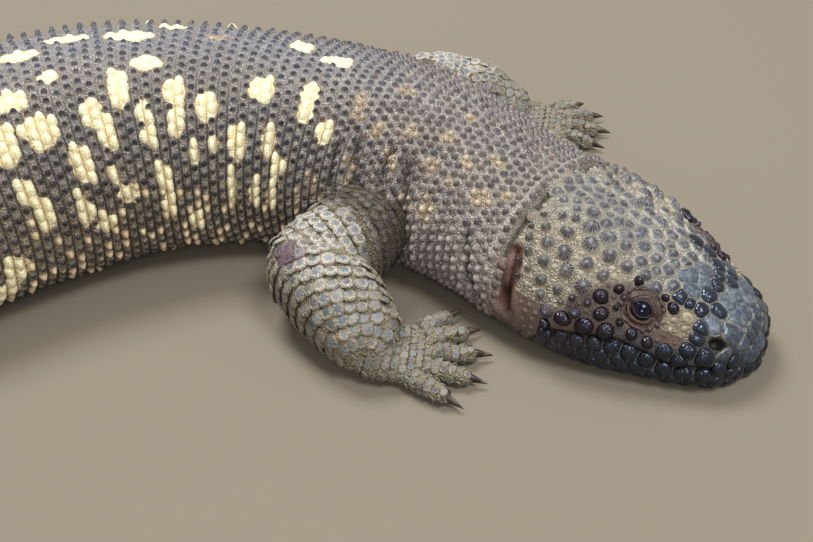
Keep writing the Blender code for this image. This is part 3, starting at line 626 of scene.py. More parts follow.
def map_body(bm, rows):
    """The s and angle of each point of a flat grid laid over the body."""
    row, column = places(bm)
    s = np.interp(row, np.arange(len(rows)), rows)
    angle = np.zeros(len(s))
    order = np.argsort(s)
    for value in np.unique(s):
        low = np.searchsorted(s[order], value, "left")
        high = np.searchsorted(s[order], value, "right")
        which = order[low:high]
        angles = ARCS.column_angles(max(value, 0))
        angle[which] = np.interp(column[which], np.arange(COLUMNS + 1), angles)
    return s, angle


def smooth_head():
    """The head and neck without pits, as a tree for placing scales."""
    rows = body_rows()
    rows = rows[rows < 90]
    bm = param_grid(len(rows) - 1, COLUMNS)
    s, angle = map_body(bm, rows)
    lay(bm, skin_at(s, angle))
    close(bm)
    tree = BVHTree.FromBMesh(bm)
    bm.free()
    return tree


def body_bmesh(depth):
    """The body's skin, with its rings, folds and pits, as a closed bmesh in mm."""
    rows = body_rows()
    bm = param_grid(len(rows) - 1, COLUMNS)
    back = np.searchsorted(rows, HEAD_BACK)
    edges = [e for e in bm.edges if max(v.co.x for v in e.verts) < back]
    bmesh.ops.subdivide_edges(bm, edges=edges, cuts=1, use_grid_fill=True)
    s, angle = map_body(bm, rows)
    arc = ARCS.arc(s, angle)
    moved = s + wander(s, arc, angle)
    points, _, _, out = skin_frame(moved, angle)
    height, dark = relief(s, angle, depth)
    pits, darker = head_relief(s, angle, points)
    on_head = s < HEAD_BACK
    height = height + np.where(on_head, pits, 0)
    height = height * ramp(-1, 1, s)
    points = points + out * height[:, None]
    points[:, 2] = np.maximum(points[:, 2], 0)
    poles = (s <= -SNOUT_CAP + 0.001) | (s >= TAIL_END + TAIL_CAP - 0.001)
    points[poles] = skin_at(s[poles], 90.0)
    lay(bm, points)
    # The third fact is the painted shade of the creases, folds and pits.
    facts = np.stack([s, arc, np.maximum(dark, np.where(on_head, darker, 0))], axis=1)
    return bm, points, facts


def limb_stations(joints, step, caps=(25, 50, 68, 80, 90)):
    """Middles, directions and half sizes along a limb with round ends."""
    spots = np.array(joints, float)
    marks = np.concatenate([[0.0], np.cumsum(np.linalg.norm(np.diff(spots[:, :3], axis=0), axis=1))])
    count = max(4, round(marks[-1] / step))
    where = np.linspace(0, marks[-1], count + 1)
    values = np.stack([curve_through(marks, spots[:, c], where) for c in range(5)], axis=1)
    along = unit(np.gradient(values[:, :3], axis=0))
    before = []
    after = []
    for degrees in caps:
        lean = math.radians(degrees)
        for rows, end, sign in ((before, 0, -1), (after, -1, 1)):
            bulge = values[end, 3:].min() * math.sin(lean)
            middle = values[end, :3] + along[end] * sign * bulge
            sizes = values[end, 3:] * max(math.cos(lean), 0)
            rows.append((middle, along[end], sizes, where[end] + sign * bulge))
    body = [(v[:3], a, v[3:], w) for v, a, w in zip(values, along, where)]
    rows = before[::-1] + body + after
    return [np.array([row[k] for row in rows]) for k in range(4)]


def limb_surface(stations, place, angle):
    """Points of a limb at row places and angles, with the direction out of it."""
    middles, along, sizes, where = stations
    index = np.arange(len(where))
    middle, ahead, half = [
        np.stack([np.interp(place, index, row) for row in table.T], axis=-1)
        for table in (middles, along, sizes)
    ]
    ahead = unit(ahead)
    side = unit(np.cross(np.array([0.0, 0.0, 1.0]), ahead))
    up = np.cross(ahead, side)
    turn = np.radians(angle)
    across, rise = [rounded(wave, 2 / LIMB_POWER) for wave in (np.cos(turn), np.sin(turn))]
    out = unit(side * across[:, None] * half[:, 1:] + up * rise[:, None] * half[:, :1])
    point = middle + side * (half[:, 0] * across)[:, None] + up * (half[:, 1] * rise)[:, None]
    return point, out, np.interp(place, index, where)


def leg_wave(name, kind, angle):
    """How far the rows of a leg's beads slant along it, the other way on the left legs."""
    slant = LEG_SLANTS[kind] * (1 if "right" in name else -1)
    return slant * np.cos(np.radians(angle))


def limb_bmesh(name, kind, joints):
    """One closed length of a limb's skin as a bmesh in mm, its points and how deep in a crease each is."""
    step, sides, crease = LIMB_GRIDS[kind]
    stations = limb_stations(joints, step)
    bm = param_grid(len(stations[3]) - 1, sides)
    row, column = places(bm)
    angle = column * 360 / sides
    points, out, where = limb_surface(stations, row, angle)
    phase = (where - leg_wave(name, kind, angle)) / LEG_RING
    fade = ramp(0, 4, np.minimum(row, row.max() - row))
    groove = (0.5 + 0.5 * np.cos(2 * math.pi * phase)) ** 3 * fade
    points = points - out * (crease * groove)[:, None]
    points[:, 2] = np.maximum(points[:, 2], 0)
    for end in (row < 0.5, row > row.max() - 0.5):
        points[end] = points[end].mean(axis=0)
        groove[end] = 0
    lay(bm, points)
    return bm, points, groove


def toe_joints(plan, number):
    """The joint points of one toe and its direction."""
    knuckles = Vector(plan["palm"][-1][:3])
    run = knuckles - Vector(plan["palm"][0][:3])
    across = Vector((-run.y, run.x, 0)).normalized()
    if plan["digits"][0] < plan["digits"][-1]:
        across = -across
    root = knuckles + across * TOE_SPREAD * (2 - number)
    angle = math.radians(plan["digits"][number])
    ahead = Vector((math.cos(angle), math.sin(angle), 0))
    joints = []
    for part, radius, height in zip((0.0, 0.5, 1.0), TOE_RADII, TOE_HEIGHTS):
        spot = root + ahead * ((TOE_ROOT + plan["reach"][number]) * part - TOE_ROOT)
        joints.append((spot.x, spot.y, height, radius, radius))
    return joints, ahead


def leg_parts():
    """Name of the leg, kind and joint points of each length of a leg."""
    for name, plan in LEGS.items():
        for kind in ("upper", "lower", "palm"):
            yield name, kind, plan[kind]
        for number in range(5):
            yield name, "toe", toe_joints(plan, number)[0]


def new_object(name, bm):
    """An object from a bmesh in mm, shaded smooth, with its place in its mesh in metres."""
    bmesh.ops.scale(bm, vec=(MM, MM, MM), verts=bm.verts)
    mesh = bpy.data.meshes.new(name)
    bm.to_mesh(mesh)
    bm.free()
    mesh.shade_smooth()
    thing = bpy.data.objects.new(name, mesh)
    bpy.context.scene.collection.objects.link(thing)
    return thing


def add_values(mesh, name, values):
    """Stores one number, a vector or a colour for each point of a mesh."""
    values = np.asarray(values, float)
    if values.ndim == 1:
        attribute = mesh.attributes.new(name, "FLOAT", "POINT")
        attribute.data.foreach_set("value", values)
    elif values.shape[1] == 3:
        attribute = mesh.attributes.new(name, "FLOAT_VECTOR", "POINT")
        attribute.data.foreach_set("vector", values.ravel())
    else:
        attribute = mesh.attributes.new(name, "FLOAT_COLOR", "POINT")
        attribute.data.foreach_set("color", values.ravel())


def mesh_points(mesh):
    """The points of a mesh in mm."""
    points = np.zeros(len(mesh.vertices) * 3)
    mesh.vertices.foreach_get("co", points)
    return points.reshape(-1, 3) / MM


def blotch_field(s, arc, spots):
    """How many mm a place lies inside the nearest pale blotch, minus outside."""
    field = np.full(np.shape(s), -9.0)
    for at_s, at_arc, half_s, half_arc in spots:
        near = np.abs(s - at_s) < half_s + 12
        away = np.hypot((s[near] - at_s) / half_s, (arc[near] - at_arc) / half_arc)
        field[near] = np.maximum(field[near], (1 - away) * min(half_s, half_arc))
    return field


def unseen_blotches():
    """Blotches of the left side, the rump and the tail, drawn with a seed."""
    rng = random.Random(11)
    spots = []
    for s in np.arange(96, 470, 8.5):
        reach = float(ARCS.arc(min(s, TAIL_END), 200.0))
        for arc in np.arange(-reach, reach, 13.0):
            place = (s + rng.uniform(-5, 5), arc + rng.uniform(-6, 6))
            size = (rng.uniform(2.2, 4.6), rng.uniform(2.6, 6.4))
            lucky = rng.random() < 0.34 + 0.22 * (s > 240)
            seen = KNOWN_SIDE[0] < place[0] < KNOWN_SIDE[1] and place[1] > KNOWN_SIDE[2]
            if lucky and not seen and place[0] > 120:
                spots.append((*place, *size))
    for band in (432, 478, 524, 572, 618, 660):
        for k in range(-3, 4):
            place = (band + rng.uniform(-4, 4), k * 9.5 + rng.uniform(-3, 3))
            spots.append((*place, rng.uniform(5, 8), rng.uniform(4, 7)))
    return spots


ALL_BLOTCHES = (*BLOTCHES, *unseen_blotches())


def soft_noise(x, y, size, seed):
    """A cheap smooth pattern between -1 and 1 for colours that drift over the body."""
    a = np.sin(x / size + 1.7 * seed) * np.cos(y / (0.8 * size) - seed)
    b = np.sin((x + y) / (1.7 * size) + 2.3 * seed) * np.cos((x - y) / (1.3 * size) + 0.6 * seed)
    return 0.6 * a + 0.4 * b


def mix(one, two, part):
    """Colours between two others, each of them linear values or a hex code."""
    one, two = [np.array(linear(tone) if isinstance(tone, str) else tone) for tone in (one, two)]
    part = np.asarray(part)[..., None]
    return one * (1 - part) + two * part


def with_alpha(colours, alpha=1.0):
    """Rows of red, green and blue with a fourth value beside them."""
    return np.column_stack([colours, np.broadcast_to(alpha, len(colours))])


def below_mouth(s, arc):
    """How many mm a place on the skin lies below the mouth line, carried on behind its corner."""
    return np.abs(arc) - np.abs(ARCS.arc(s, mouth_angle(s)))


def path_distance(s, arc, path):
    """Distance on the skin of either side to a path over s and degrees above the side of the head."""
    flat = [(at_s, abs(float(ARCS.arc(at_s, side_angle(above, "right"))))) for at_s, above in path]
    return distance_to_path(s, np.abs(arc), flat)


def ear_distance(s, arc):
    """Distance on the skin to the ear's slit."""
    return path_distance(s, arc, EAR_FOLD)


def bare(s, arc):
    """Share of bare, undusted skin round the eyes, lips and ears, and of the near-black painted shade in
    the nostrils, and its colour.
    """
    jaw = mix("#26282b", "#5b4640", ramp(26, 52, s))
    parts = (
        (ramp(-8.5, -6.0, below_mouth(s, arc)) * ramp(64, 58, s), jaw),
        (ramp(6.4, 4.4, path_distance(s, arc, EYE_SKIN)), "#38231e"),
        (ramp(2.0, 1.0, path_distance(s, arc, LIP_SKIN)), "#483228"),
        # Painted shade: near black in and round the nostril's pit.
        (ramp(4.2, 3.0, path_distance(s, arc, NOSTRIL_SHADE)), "#06070a"),
        (ramp(3.2, 1.8, ear_distance(s, arc)), "#5a302b"),
    )
    share = np.zeros(np.shape(s))
    tone = np.zeros((*np.shape(s), 3))
    for part, colour in parts:
        tone = mix(tone, colour, np.where(share > 0, part, 1.0))
        share = np.maximum(share, part)
    return share, tone


def ground_colour(s, arc, colours):
    """Colour of the skin between beads on the body, without its blotches."""
    hide = np.array(colours.hide)
    side = np.abs(arc)
    neck = ramp(56, 66, s) * ramp(140, 105, s)
    spine = ramp(16, 4, np.abs(arc + 4)) * ramp(60, 110, s)
    flanks = ramp(34, 62, side) * ramp(110, 140, s)
    temples = ramp(20, 32, s) * ramp(66, 60, s)
    crown = ramp(64, 56, s) * ramp(17, 10, side)
    before_eyes = ramp(11, 13, s) * ramp(24, 21, s) * ramp(10, 14, side)
    washes = (
        ("#9a9b9f", 0.6 * spine), ("#a08e70", 0.7 * flanks), ("#b3aaa0", 0.7 * neck),
        # Lower side of the neck: its own pinkish colour, partly lightened as painted light bounced up from
        # below.
        ("#b9aaa2", 0.75 * ramp(18, 38, side) * neck), ("#aba08a", 0.9 * temples),
        ("#a5a092", 0.9 * crown), ("#8b8779", ramp(18, 13, s)),
        ("#a3957a", 0.8 * before_eyes * ramp(-2.0, -4.0, below_mouth(s, arc))),
    )
    tone = mix(hide, hide * 0.82, 0.5 + 0.5 * soft_noise(s, arc, 14, 1))
    for colour, part in washes:
        tone = mix(tone, colour, part)
    share, skin = bare(s, arc)
    return mix(tone, skin, 0.92 * share)


class SkinPiece(bpy.types.Operator):
    """Makes the one skin over the body and legs, with its rings, folds and pits"""

    bl_idname = "lizard.skin"
    bl_label = "Skin"

    def execute(self, context):
        sizes = context.scene.lizard_sizes
        colours = context.scene.lizard_colours
        bm, points, facts = body_bmesh(sizes.crease_depth / MM)
        marks = [points]
        notes = [np.column_stack([facts, np.zeros(len(facts))])]
        close(bm)
        skin = new_object("skin", bm)
        limbs = bpy.data.collections.new("limbs")
        context.scene.collection.children.link(limbs)
        for name, kind, joints in leg_parts():
            bm, points, groove = limb_bmesh(name, kind, joints)
            close(bm)
            limbs.objects.link(new_object(name, bm))
            marks.append(points)
            size = 2 if kind in ("palm", "toe") else 1
            # A leg's groove share also serves as the painted shade in its creases.
            notes.append(np.column_stack([np.zeros((len(points), 2)), groove, np.full(len(points), size)]))
        join(skin, limbs)
        tree = place_tree(np.concatenate(marks))
        relax_joints(skin, tree)
        mesh = skin.data
        points = mesh_points(mesh)
        found = [tree.find(point)[1] for point in points]
        s, arc, dark, leg = np.concatenate(notes)[found].T
        on_leg = np.minimum(leg, 1)
        dust = np.array(colours.dust)
        # The leg's skin shows only in the gaps between its beads: it is drawn at 0.8 of the dust as painted
        # shade, and darker brown near the body.
        leg_skin_and_shade = mix(dust * 0.8, "#5e5345", shade_of_legs(points))
        dusty = 1 - 0.85 * bare(s, arc)[0] * (1 - on_leg)
        add_values(mesh, "ground", with_alpha(mix(ground_colour(s, arc, colours), leg_skin_and_shade, on_leg), dusty))
        for name, spots in (("blotch", ALL_BLOTCHES), ("faint", FAINT_BLOTCHES)):
            add_values(mesh, name, np.where(leg > 0.5, -9, blotch_field(s, arc, spots)))
        # Painted shade in the creases, folds and pits.
        add_values(mesh, "crease", dark)
        add_values(mesh, "leg", leg)
        mesh.materials.clear()
        dress(skin, dusty_granular_hide)
        legs = [f"{leg}_{part}" for leg in LEGS for part in LEG_NODES]
        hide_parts(*BODY_NODES, *legs)
        return {"FINISHED"}


def place_tree(points):
    """A tree for finding the nearest of some points."""
    tree = KDTree(len(points))
    for k, point in enumerate(points):
        tree.insert(point, k)
    tree.balance()
    return tree


def join(thing, group):
    """Unites a closed object with a collection of closed objects."""
    modifier = thing.modifiers.new("join", "BOOLEAN")
    modifier.operation = "UNION"
    modifier.solver = "MANIFOLD"
    modifier.operand_type = "COLLECTION"
    modifier.collection = group
    ready = thing.evaluated_get(bpy.context.evaluated_depsgraph_get())
    mesh = bpy.data.meshes.new_from_object(ready)
    thing.modifiers.clear()
    thing.data = mesh
    for piece in list(group.objects):
        bpy.data.objects.remove(piece)
    bpy.data.collections.remove(group)


def in_mm(mesh):
    """A bmesh of a mesh, in mm."""
    bm = bmesh.new()
    bm.from_mesh(mesh)
    bmesh.ops.scale(bm, vec=(1 / MM,) * 3, verts=bm.verts)
    return bm


def relax_joints(skin, tree):
    """Rounds the inner corners where the union made new points."""
    bm = in_mm(skin.data)
    seams = place_tree([v.co.copy() for v in bm.verts if tree.find(v.co)[2] > 0.03])
    near = [v for v in bm.verts if v.co.z > 0.3 and seams.find(v.co)[2] < 2.6]
    closest = [v for v in near if seams.find(v.co)[2] < 1.4]
    for verts in [near] * 4 + [closest] * 6:
        bmesh.ops.smooth_vert(
            bm, verts=verts, factor=0.5, use_axis_x=True, use_axis_y=True, use_axis_z=True
        )
    bmesh.ops.scale(bm, vec=(MM,) * 3, verts=bm.verts)
    bm.to_mesh(skin.data)
    bm.free()
    skin.data.shade_smooth()


BEAD_SIDES = 10
BEAD_RINGS = (0.86, 0.58, 0.3)
# Height of a bead at these shares of its radius, for each shape.
BEAD_STEPS = (0.0, 0.3, 0.58, 0.86, 1.0)
PROFILES = {
    "tipped": (1.0, 0.88, 0.5, 0.12, -0.3),
    "rounded": (1.0, 0.92, 0.68, 0.25, -0.35),
    "brimmed": (1.0, 0.86, 0.6, 0.4, -0.6),
}
LEANS = {"tipped": 0.0, "brimmed": 0.27}        # how steeply the shape rises towards its front
TIP_SHARES = {"tipped": 1.0, "brimmed": 0.8}    # share of the radius that the dark tip takes
BAKE_PATCH = 0.003      # width of a stud's own patch of the OFBake map
FLOOR_GAP = 0.02        # mm that beads and scales keep from the floor


def dome(sides, rings):
    """A flat disc of rings round a point: distances from the middle, angles and its faces."""
    bm = bmesh.new()
    bmesh.ops.create_circle(bm, cap_ends=True, segments=sides, radius=1.0)
    middle = list(bm.faces)
    width = math.cos(math.pi / sides)
    for outer, inner in zip((1.0,) + rings, rings):
        step = (outer - inner) * width
        bmesh.ops.inset_region(bm, faces=middle, thickness=step, use_boundary=True, use_even_offset=True)
    bmesh.ops.poke(bm, faces=middle)
    bm.verts.index_update()
    flat = np.array([v.co[:2] for v in bm.verts])
    faces = [[v.index for v in face.verts] for face in bm.faces]
    bm.free()
    return np.hypot(flat[:, 0], flat[:, 1]), np.arctan2(flat[:, 1], flat[:, 0]), faces


def bake_roots(along, around):
    """Corners of the studs' patches on the OFBake map, from two shares between 0 and 1."""
    return np.stack([along, around], axis=1) * 0.99 + 0.005


def studs(name, template, points, local, roots, tones, grounds):
    """Many like studs as one mesh: points, own coordinates, places on the OFBake map and colours."""
    reach, turn, faces = template
    count = len(points)
    each = len(reach)
    sizes = [len(face) for face in faces]
    corners = np.concatenate(faces)
    shift = np.arange(count)[:, None] * each
    points[..., 2] = np.maximum(points[..., 2], FLOOR_GAP)
    mesh = bpy.data.meshes.new(name)
    mesh.vertices.add(count * each)
    mesh.loops.add(count * len(corners))
    mesh.polygons.add(count * len(faces))
    mesh.vertices.foreach_set("co", (points * MM).ravel())
    mesh.loops.foreach_set("vertex_index", (corners[None, :] + shift).ravel())
    starts = np.concatenate([[0], np.cumsum(np.tile(sizes, count))[:-1]])
    mesh.polygons.foreach_set("loop_start", starts)
    mesh.update(calc_edges=True)
    mesh.validate()
    mesh.shade_smooth()
    disc = np.stack([reach * np.cos(turn), reach * np.sin(turn)], axis=1)
    spread = roots[:, None, :] + disc[None, corners, :] * BAKE_PATCH / 2
    bake = mesh.uv_layers.new(name="OFBake")
    bake.data.foreach_set("uv", spread.ravel())
    add_values(mesh, "dome", local.reshape(-1, 3))
    add_values(mesh, "tone", np.repeat(tones, each, axis=0))
    add_values(mesh, "ground", np.repeat(grounds, each, axis=0))
    thing = bpy.data.objects.new(name, mesh)
    bpy.context.scene.collection.objects.link(thing)
    return thing


def set_studs(name, facts, keep, shape="tipped"):
    """The beads that are kept, as one mesh.

    The facts are, for each bead: its point, the directions ahead, round and out, its half sizes,
    height and roundness, how deep and long the ridge under it is, its place on the OFBake map and
    the colours of its tip and rim.
    """
    at, ahead, around, out, half, rise, broad, bend, roots, tones, grounds = [row[keep] for row in facts]
    template = dome(BEAD_SIDES, BEAD_RINGS)
    reach, turn, _ = template
    x = reach * np.cos(turn)
    y = reach * np.sin(turn)
    broad = broad[:, None]
    height = np.interp(reach, BEAD_STEPS, PROFILES[shape]) * (1 - broad)
    height = height + np.interp(reach, BEAD_STEPS, PROFILES["rounded"]) * broad
    along = half[:, 0, None] * x
    across = half[:, 1, None] * y
    dip = 1 - np.abs(np.cos(math.pi * along / bend[:, 1:])) ** RIDGE_ROUND
    lift = rise[:, None] * height + LEANS[shape] * along - bend[:, :1] * dip
    points = at[:, None, :]
    for direction, far in ((ahead, along), (around, across), (out, lift)):
        points = points + direction[:, None, :] * far[..., None]
    spread = (1 - 0.3 * broad) / TIP_SHARES[shape]
    # The third own coordinate marks the bead's foot, where painted shade is laid.
    edge = np.broadcast_to(ramp(0.72, 0.95, reach), lift.shape)
    local = np.stack([x * spread, y * spread, edge], axis=-1)
    return studs(name, template, points, local, roots, tones, grounds)


def bead_places(rng, start, end):
    """Every bead of a length of the body: s and arc, its spacing, and the s of its ring."""
    found = []
    for ring in range(RINGS):
        s = float(ring_s(ring + 0.5))
        if not start <= s < end:
            continue
        pitch = float(table_at(BEAD_PITCH, s))
        reach = float(ARCS.arc(s, 218.0))
        count = int(reach / pitch) + 1
        loose = 0.2 + 0.08 * float(ramp(150, 90, s))
        for k in range(-count, count + 1):
            arc = (k + 0.5 * (ring % 2)) * pitch
            if abs(arc) < reach:
                place = (s + rng.uniform(-loose, loose), arc + 1.4 * rng.uniform(-loose, loose))
                found.append((*place, pitch, s))
    return np.array(found)


def tone_of_beads(s, arc, colours, rng):
    """Colours of the beads' tips and of their rims, and how much each one is swollen and pale."""
    draw = np.array([[rng.random() for _ in range(4)] for _ in s])
    side = np.abs(arc)
    ground = ground_colour(s, arc, colours)
    blue = ramp(26, 4, np.abs(arc + 4)) * ramp(90, 130, s)
    neck = ramp(140, 100, s)
    throat = ramp(20, 40, side) * ramp(110, 80, s)
    rusty = (draw[:, 2] > 0.93) * ramp(300, 60, s)
    tip = mix(colours.bead, "#363b4b", np.clip(blue + 0.5 * (draw[:, 0] > 0.6), 0, 1) * draw[:, 1])
    tip = mix(tip, mix("#443c3a", "#7a6d66", draw[:, 2]), 0.75 * neck)
    tip = mix(tip, "#6d5140", 0.6 * rusty)
    # Beads of the lower neck: their own pinkish browns, partly lightened as painted light bounced up from
    # below.
    tip = mix(tip, mix("#5a4c46", "#a6978e", draw[:, 0]), 0.75 * throat)
    field = blotch_field(s, arc, ALL_BLOTCHES) + 0.7 * (draw[:, 3] - 0.5)
    faint = blotch_field(s, arc, FAINT_BLOTCHES) + 1.2 * (draw[:, 3] - 0.5)
    low = ramp(44, 70, side) * ramp(130, 150, s)
    stray = (draw[:, 3] < 0.10 + 0.40 * low) & (draw[:, 0] > 0.25) & (s > 120) & (low > 0.05)
    yellow = field > -0.3
    pale = np.array(colours.pale)
    warm = np.array(linear("#d3b287"))
    tip = mix(tip, mix("#cdb996", "#a59079", draw[:, 1]), 0.75 * (faint > -0.2))
    ground = mix(ground, "#c4b091", 0.7 * (faint > -0.4))
    tip = np.where(stray[:, None], mix(pale * 0.85, warm, 0.3 + 0.6 * draw[:, 1]), tip)
    ground = np.where(stray[:, None], mix(ground, warm * 0.8, 0.5), ground)
    tip = np.where(yellow[:, None], mix(pale, warm, 0.15 * draw[:, 1]), tip)
    ground = np.where(yellow[:, None], mix(pale, warm, 0.1 + 0.2 * draw[:, 2]), ground)
    shine = np.where(yellow | stray, 0.25, 0.85 - 0.4 * draw[:, 2])
    swell = np.where(yellow, 1.0, np.where(stray, 0.3, 0.0))
    # The rim colour's alpha is the strength of the painted shade at the bead's foot.
    return np.column_stack([tip, shine]), with_alpha(ground, 0.3 * (1 - swell)), swell


# The pieces that the beads of the neck, trunk and tail are made in, from s to s.
BEAD_LENGTHS = {
    "neck_beads": (RINGS_START, 130),
    "torso_beads_front": (130, 225),
    "torso_beads_rear": (225, 386),
    "tail_beads": (386, TAIL_END - 3),
}


class TrunkBeads(bpy.types.Operator):
    """Sets the beads of the neck, trunk and tail in their rings"""

    bl_idname = "lizard.trunk_beads"
    bl_label = "Trunk and tail beads"

    def execute(self, context):
        sizes = context.scene.lizard_sizes
        depth = sizes.crease_depth / MM
        tree = skin_tree()
        rng = random.Random(sizes.seed)
        for name, (start, end) in BEAD_LENGTHS.items():
            s, arc, pitch, ring = bead_places(rng, start, end).T
            angle = np.array([float(ARCS.angle_at(*place)) for place in zip(s, arc)])
            at, ahead, around, out = skin_frame(s + wander(s, arc, angle), angle)
            at = at + out * relief(ring, angle, depth)[0][:, None]
            keep = (at[:, 2] > 2.2) & on_skin(tree, at, 0.45)
            step = np.linalg.norm(skin_at(s + 1.5, angle) - skin_at(s - 1.5, angle), axis=1) / 3
            local = step * np.interp(s, FINE, table_at(RING_PITCH, FINE))
            draw = np.array([[rng.uniform(0.88, 1.1), rng.uniform(0.85, 1.15)] for _ in s])
            neck = ramp(140, 105, s)
            wide = sizes.bead_width / MM / 2 * np.minimum(1, pitch / 3.4) * (1 + 0.24 * neck)
            half = np.stack([np.minimum(wide, 0.46 * local), wide], axis=1) * draw[:, :1]
            rise = sizes.bead_rise / MM * draw[:, 1] * np.minimum(1, pitch / 3.3)
            rise = rise * (1 - 0.3 * ramp(30, 10, np.abs(arc)) * ramp(100, 140, s))
            tones, grounds, swell = tone_of_beads(s, arc, context.scene.lizard_colours, rng)
            roots = bake_roots((s - start) / (end - start), (angle + 90) / 360)
            half = half * (1 + np.outer(swell, (0.45, 0.75)))
            half = np.minimum(half, np.stack([0.5 * local, 0.66 * pitch], axis=1))
            rise = rise * (1 - 0.15 * swell)
            broad = 0.35 * neck * (1 - swell) + swell
            bend = np.stack([groove_depth(s, angle, depth), local], axis=1)
            facts = (at, ahead, around, out, half, rise, broad, bend, roots, tones, grounds)
            dress(set_studs(name, facts, keep), horn_capped_beads)
        return {"FINISHED"}


def skin_tree():
    """The skin as a tree for finding the nearest place on it, in mm."""
    skin = bpy.data.objects.get("skin")
    if skin is None:
        raise RuntimeError("the skin has to be made before what grows on it")
    bm = in_mm(skin.data)
    tree = BVHTree.FromBMesh(bm)
    bm.free()
    return tree


def on_skin(tree, points, most):
    """Which points lie on the outer skin and not inside a limb or the body."""
    return np.array([tree.find_nearest(Vector(p))[3] < most for p in points])


def dress(piece, build):
    """Gives a finished piece its material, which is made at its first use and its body."""
    piece.data.materials.append(bpy.data.materials.get(build.__name__) or build())
    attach(piece, "root")


def leg_bead_rows(rng):
    """Beads in rows along every length of the legs: place, direction along, pitch and part."""
    found = []
    for index, (name, kind, joints) in enumerate(leg_parts()):
        stations = limb_stations(joints, 1.0)
        where = stations[3]
        for ring, pitch in LEG_WEAVES[kind]:
            count = max(6, round(math.pi * stations[2].max(axis=0).sum() / pitch))
            marks = np.arange(math.ceil(where.min() / ring) + 0.5, where.max() / ring, 1.0) * ring
            for number, mark in enumerate(marks):
                angle = (np.arange(count) + 0.5 * (number % 2)) * 360 / count
                angle = angle + np.array([rng.uniform(-2, 2) for _ in angle])
                place = mark + leg_wave(name, kind, angle)
                place = np.interp(place, where, np.arange(len(where)))
                at = limb_surface(stations, place, angle)[0]
                ahead = limb_surface(stations, place + 0.3, angle)[0] - at
                inner = shade_of_legs(at) > 0.5
                wanted = inner == (pitch < FINE_SCALES) if kind == "upper" else np.ones(len(at), bool)
                good = wanted & (np.linalg.norm(ahead, axis=1) > 0.01)
                found += [(*p, *d, pitch, index) for p, d in zip(at[good], ahead[good])]
    return np.array(found)


def gaps_of_legs(mesh, taken, rng):
    """Places on the leg's skin that no bead has reached: place, direction, pitch and part."""
    points = mesh_points(mesh)
    part = np.zeros(len(points))
    mesh.attributes["leg"].data.foreach_get("value", part)
    inner = shade_of_legs(points)
    order = list(np.flatnonzero((part > 0) & (points[:, 2] > 1.4)))
    rng.shuffle(order)
    last = len(list(leg_parts()))
    cells = Cells(row[:3] for row in taken)
    found = []
    for k in order:
        pitch = 1.9 if part[k] > 1.5 else 2.3 if inner[k] > 0.5 else 3.0
        if cells.free(points[k], pitch):
            cells.keep(points[k])
            found.append((*points[k], 1.0, 0.3, 0.0, pitch, last))
    return np.array(found)


CELL = 3.5      # mm, side of the cells by which near points are found


class Cells:
    """Points that are kept by the cell they lie in, so that near ones are found quickly."""

    def __init__(self, points=()):
        self.kept = {}
        for point in points:
            self.keep(point)

    def cell(self, point):
        """The cell that a point lies in."""
        return tuple(int(c // CELL) for c in point)

    def keep(self, point):
        """Keeps one more point."""
        self.kept.setdefault(self.cell(point), []).append(point)

    def free(self, point, room):
        """Whether a point has its room from every point that is kept."""
        x, y, z = self.cell(point)
        steps = (-1, 0, 1)
        return all(
            np.linalg.norm(point - other) > room
            for dx in steps for dy in steps for dz in steps
            for other in self.kept.get((x + dx, y + dy, z + dz), ())
        )


def spaced(points, rooms):
    """Which points have their room from every earlier point that is kept."""
    cells = Cells()
    kept = []
    for point, room in zip(points, rooms):
        kept.append(cells.free(point, room))
        if kept[-1]:
            cells.keep(point)
    return np.array(kept)


class LegBeads(bpy.types.Operator):
    """Sets the beads of the legs and the small scales of the feet"""

    bl_idname = "lizard.leg_beads"
    bl_label = "Leg beads"

    def execute(self, context):
        sizes = context.scene.lizard_sizes
        tree = skin_tree()
        rng = random.Random(sizes.seed + 1)
        rows = leg_bead_rows(rng)
        rows = rows[on_skin(tree, rows[:, :3], 0.7) & (rows[:, 2] > 1.4)]
        rows = rows[spaced(rows[:, :3], rows[:, 6] * 0.78)]
        rows = np.concatenate([rows, gaps_of_legs(bpy.data.objects["skin"].data, rows, rng)])
        trunk = trunk_bead_places()
        rows = rows[[trunk.free(row[:3], 2.0) for row in rows]]
        hits = [tree.find_nearest(Vector(row[:3])) for row in rows]
        at = np.array([hit[0] for hit in hits])
        out = np.array([hit[1] for hit in hits])
        around = unit(np.cross(out, rows[:, 3:6]))
        ahead = np.cross(around, out)
        draw = np.array([[rng.random() for _ in range(4)] for _ in rows])
        pitch = rows[:, 6]
        small = pitch < FINE_SCALES
        wide = np.where(small, 0.6 * pitch, sizes.leg_bead_width / MM / 2) * (0.94 + 0.12 * draw[:, 0])
        half = np.stack([wide, wide], axis=1)
        rise = np.where(small, 0.42, 0.55) * (0.85 + 0.3 * draw[:, 1])
        rise = rise * (1 - 0.4 * shade_of_legs(at))
        tones, grounds = leg_tones(at, draw, context.scene.lizard_colours)
        broad = np.zeros(len(rows))
        bend = np.stack([0.25 * wide, 4 * wide], axis=1)
        roots = bake_roots((rows[:, 7] + draw[:, 2]) / (len(list(leg_parts())) + 1), draw[:, 3])
        facts = (at, ahead, around, out, half, rise, broad, bend, roots, tones, grounds)
        front = at[:, 0] > FORE_AND_HIND
        for name, keep in (("foreleg_beads", front), ("hind_leg_beads", ~front)):
            dress(set_studs(name, facts, keep, "brimmed"), horn_capped_beads)
        return {"FINISHED"}


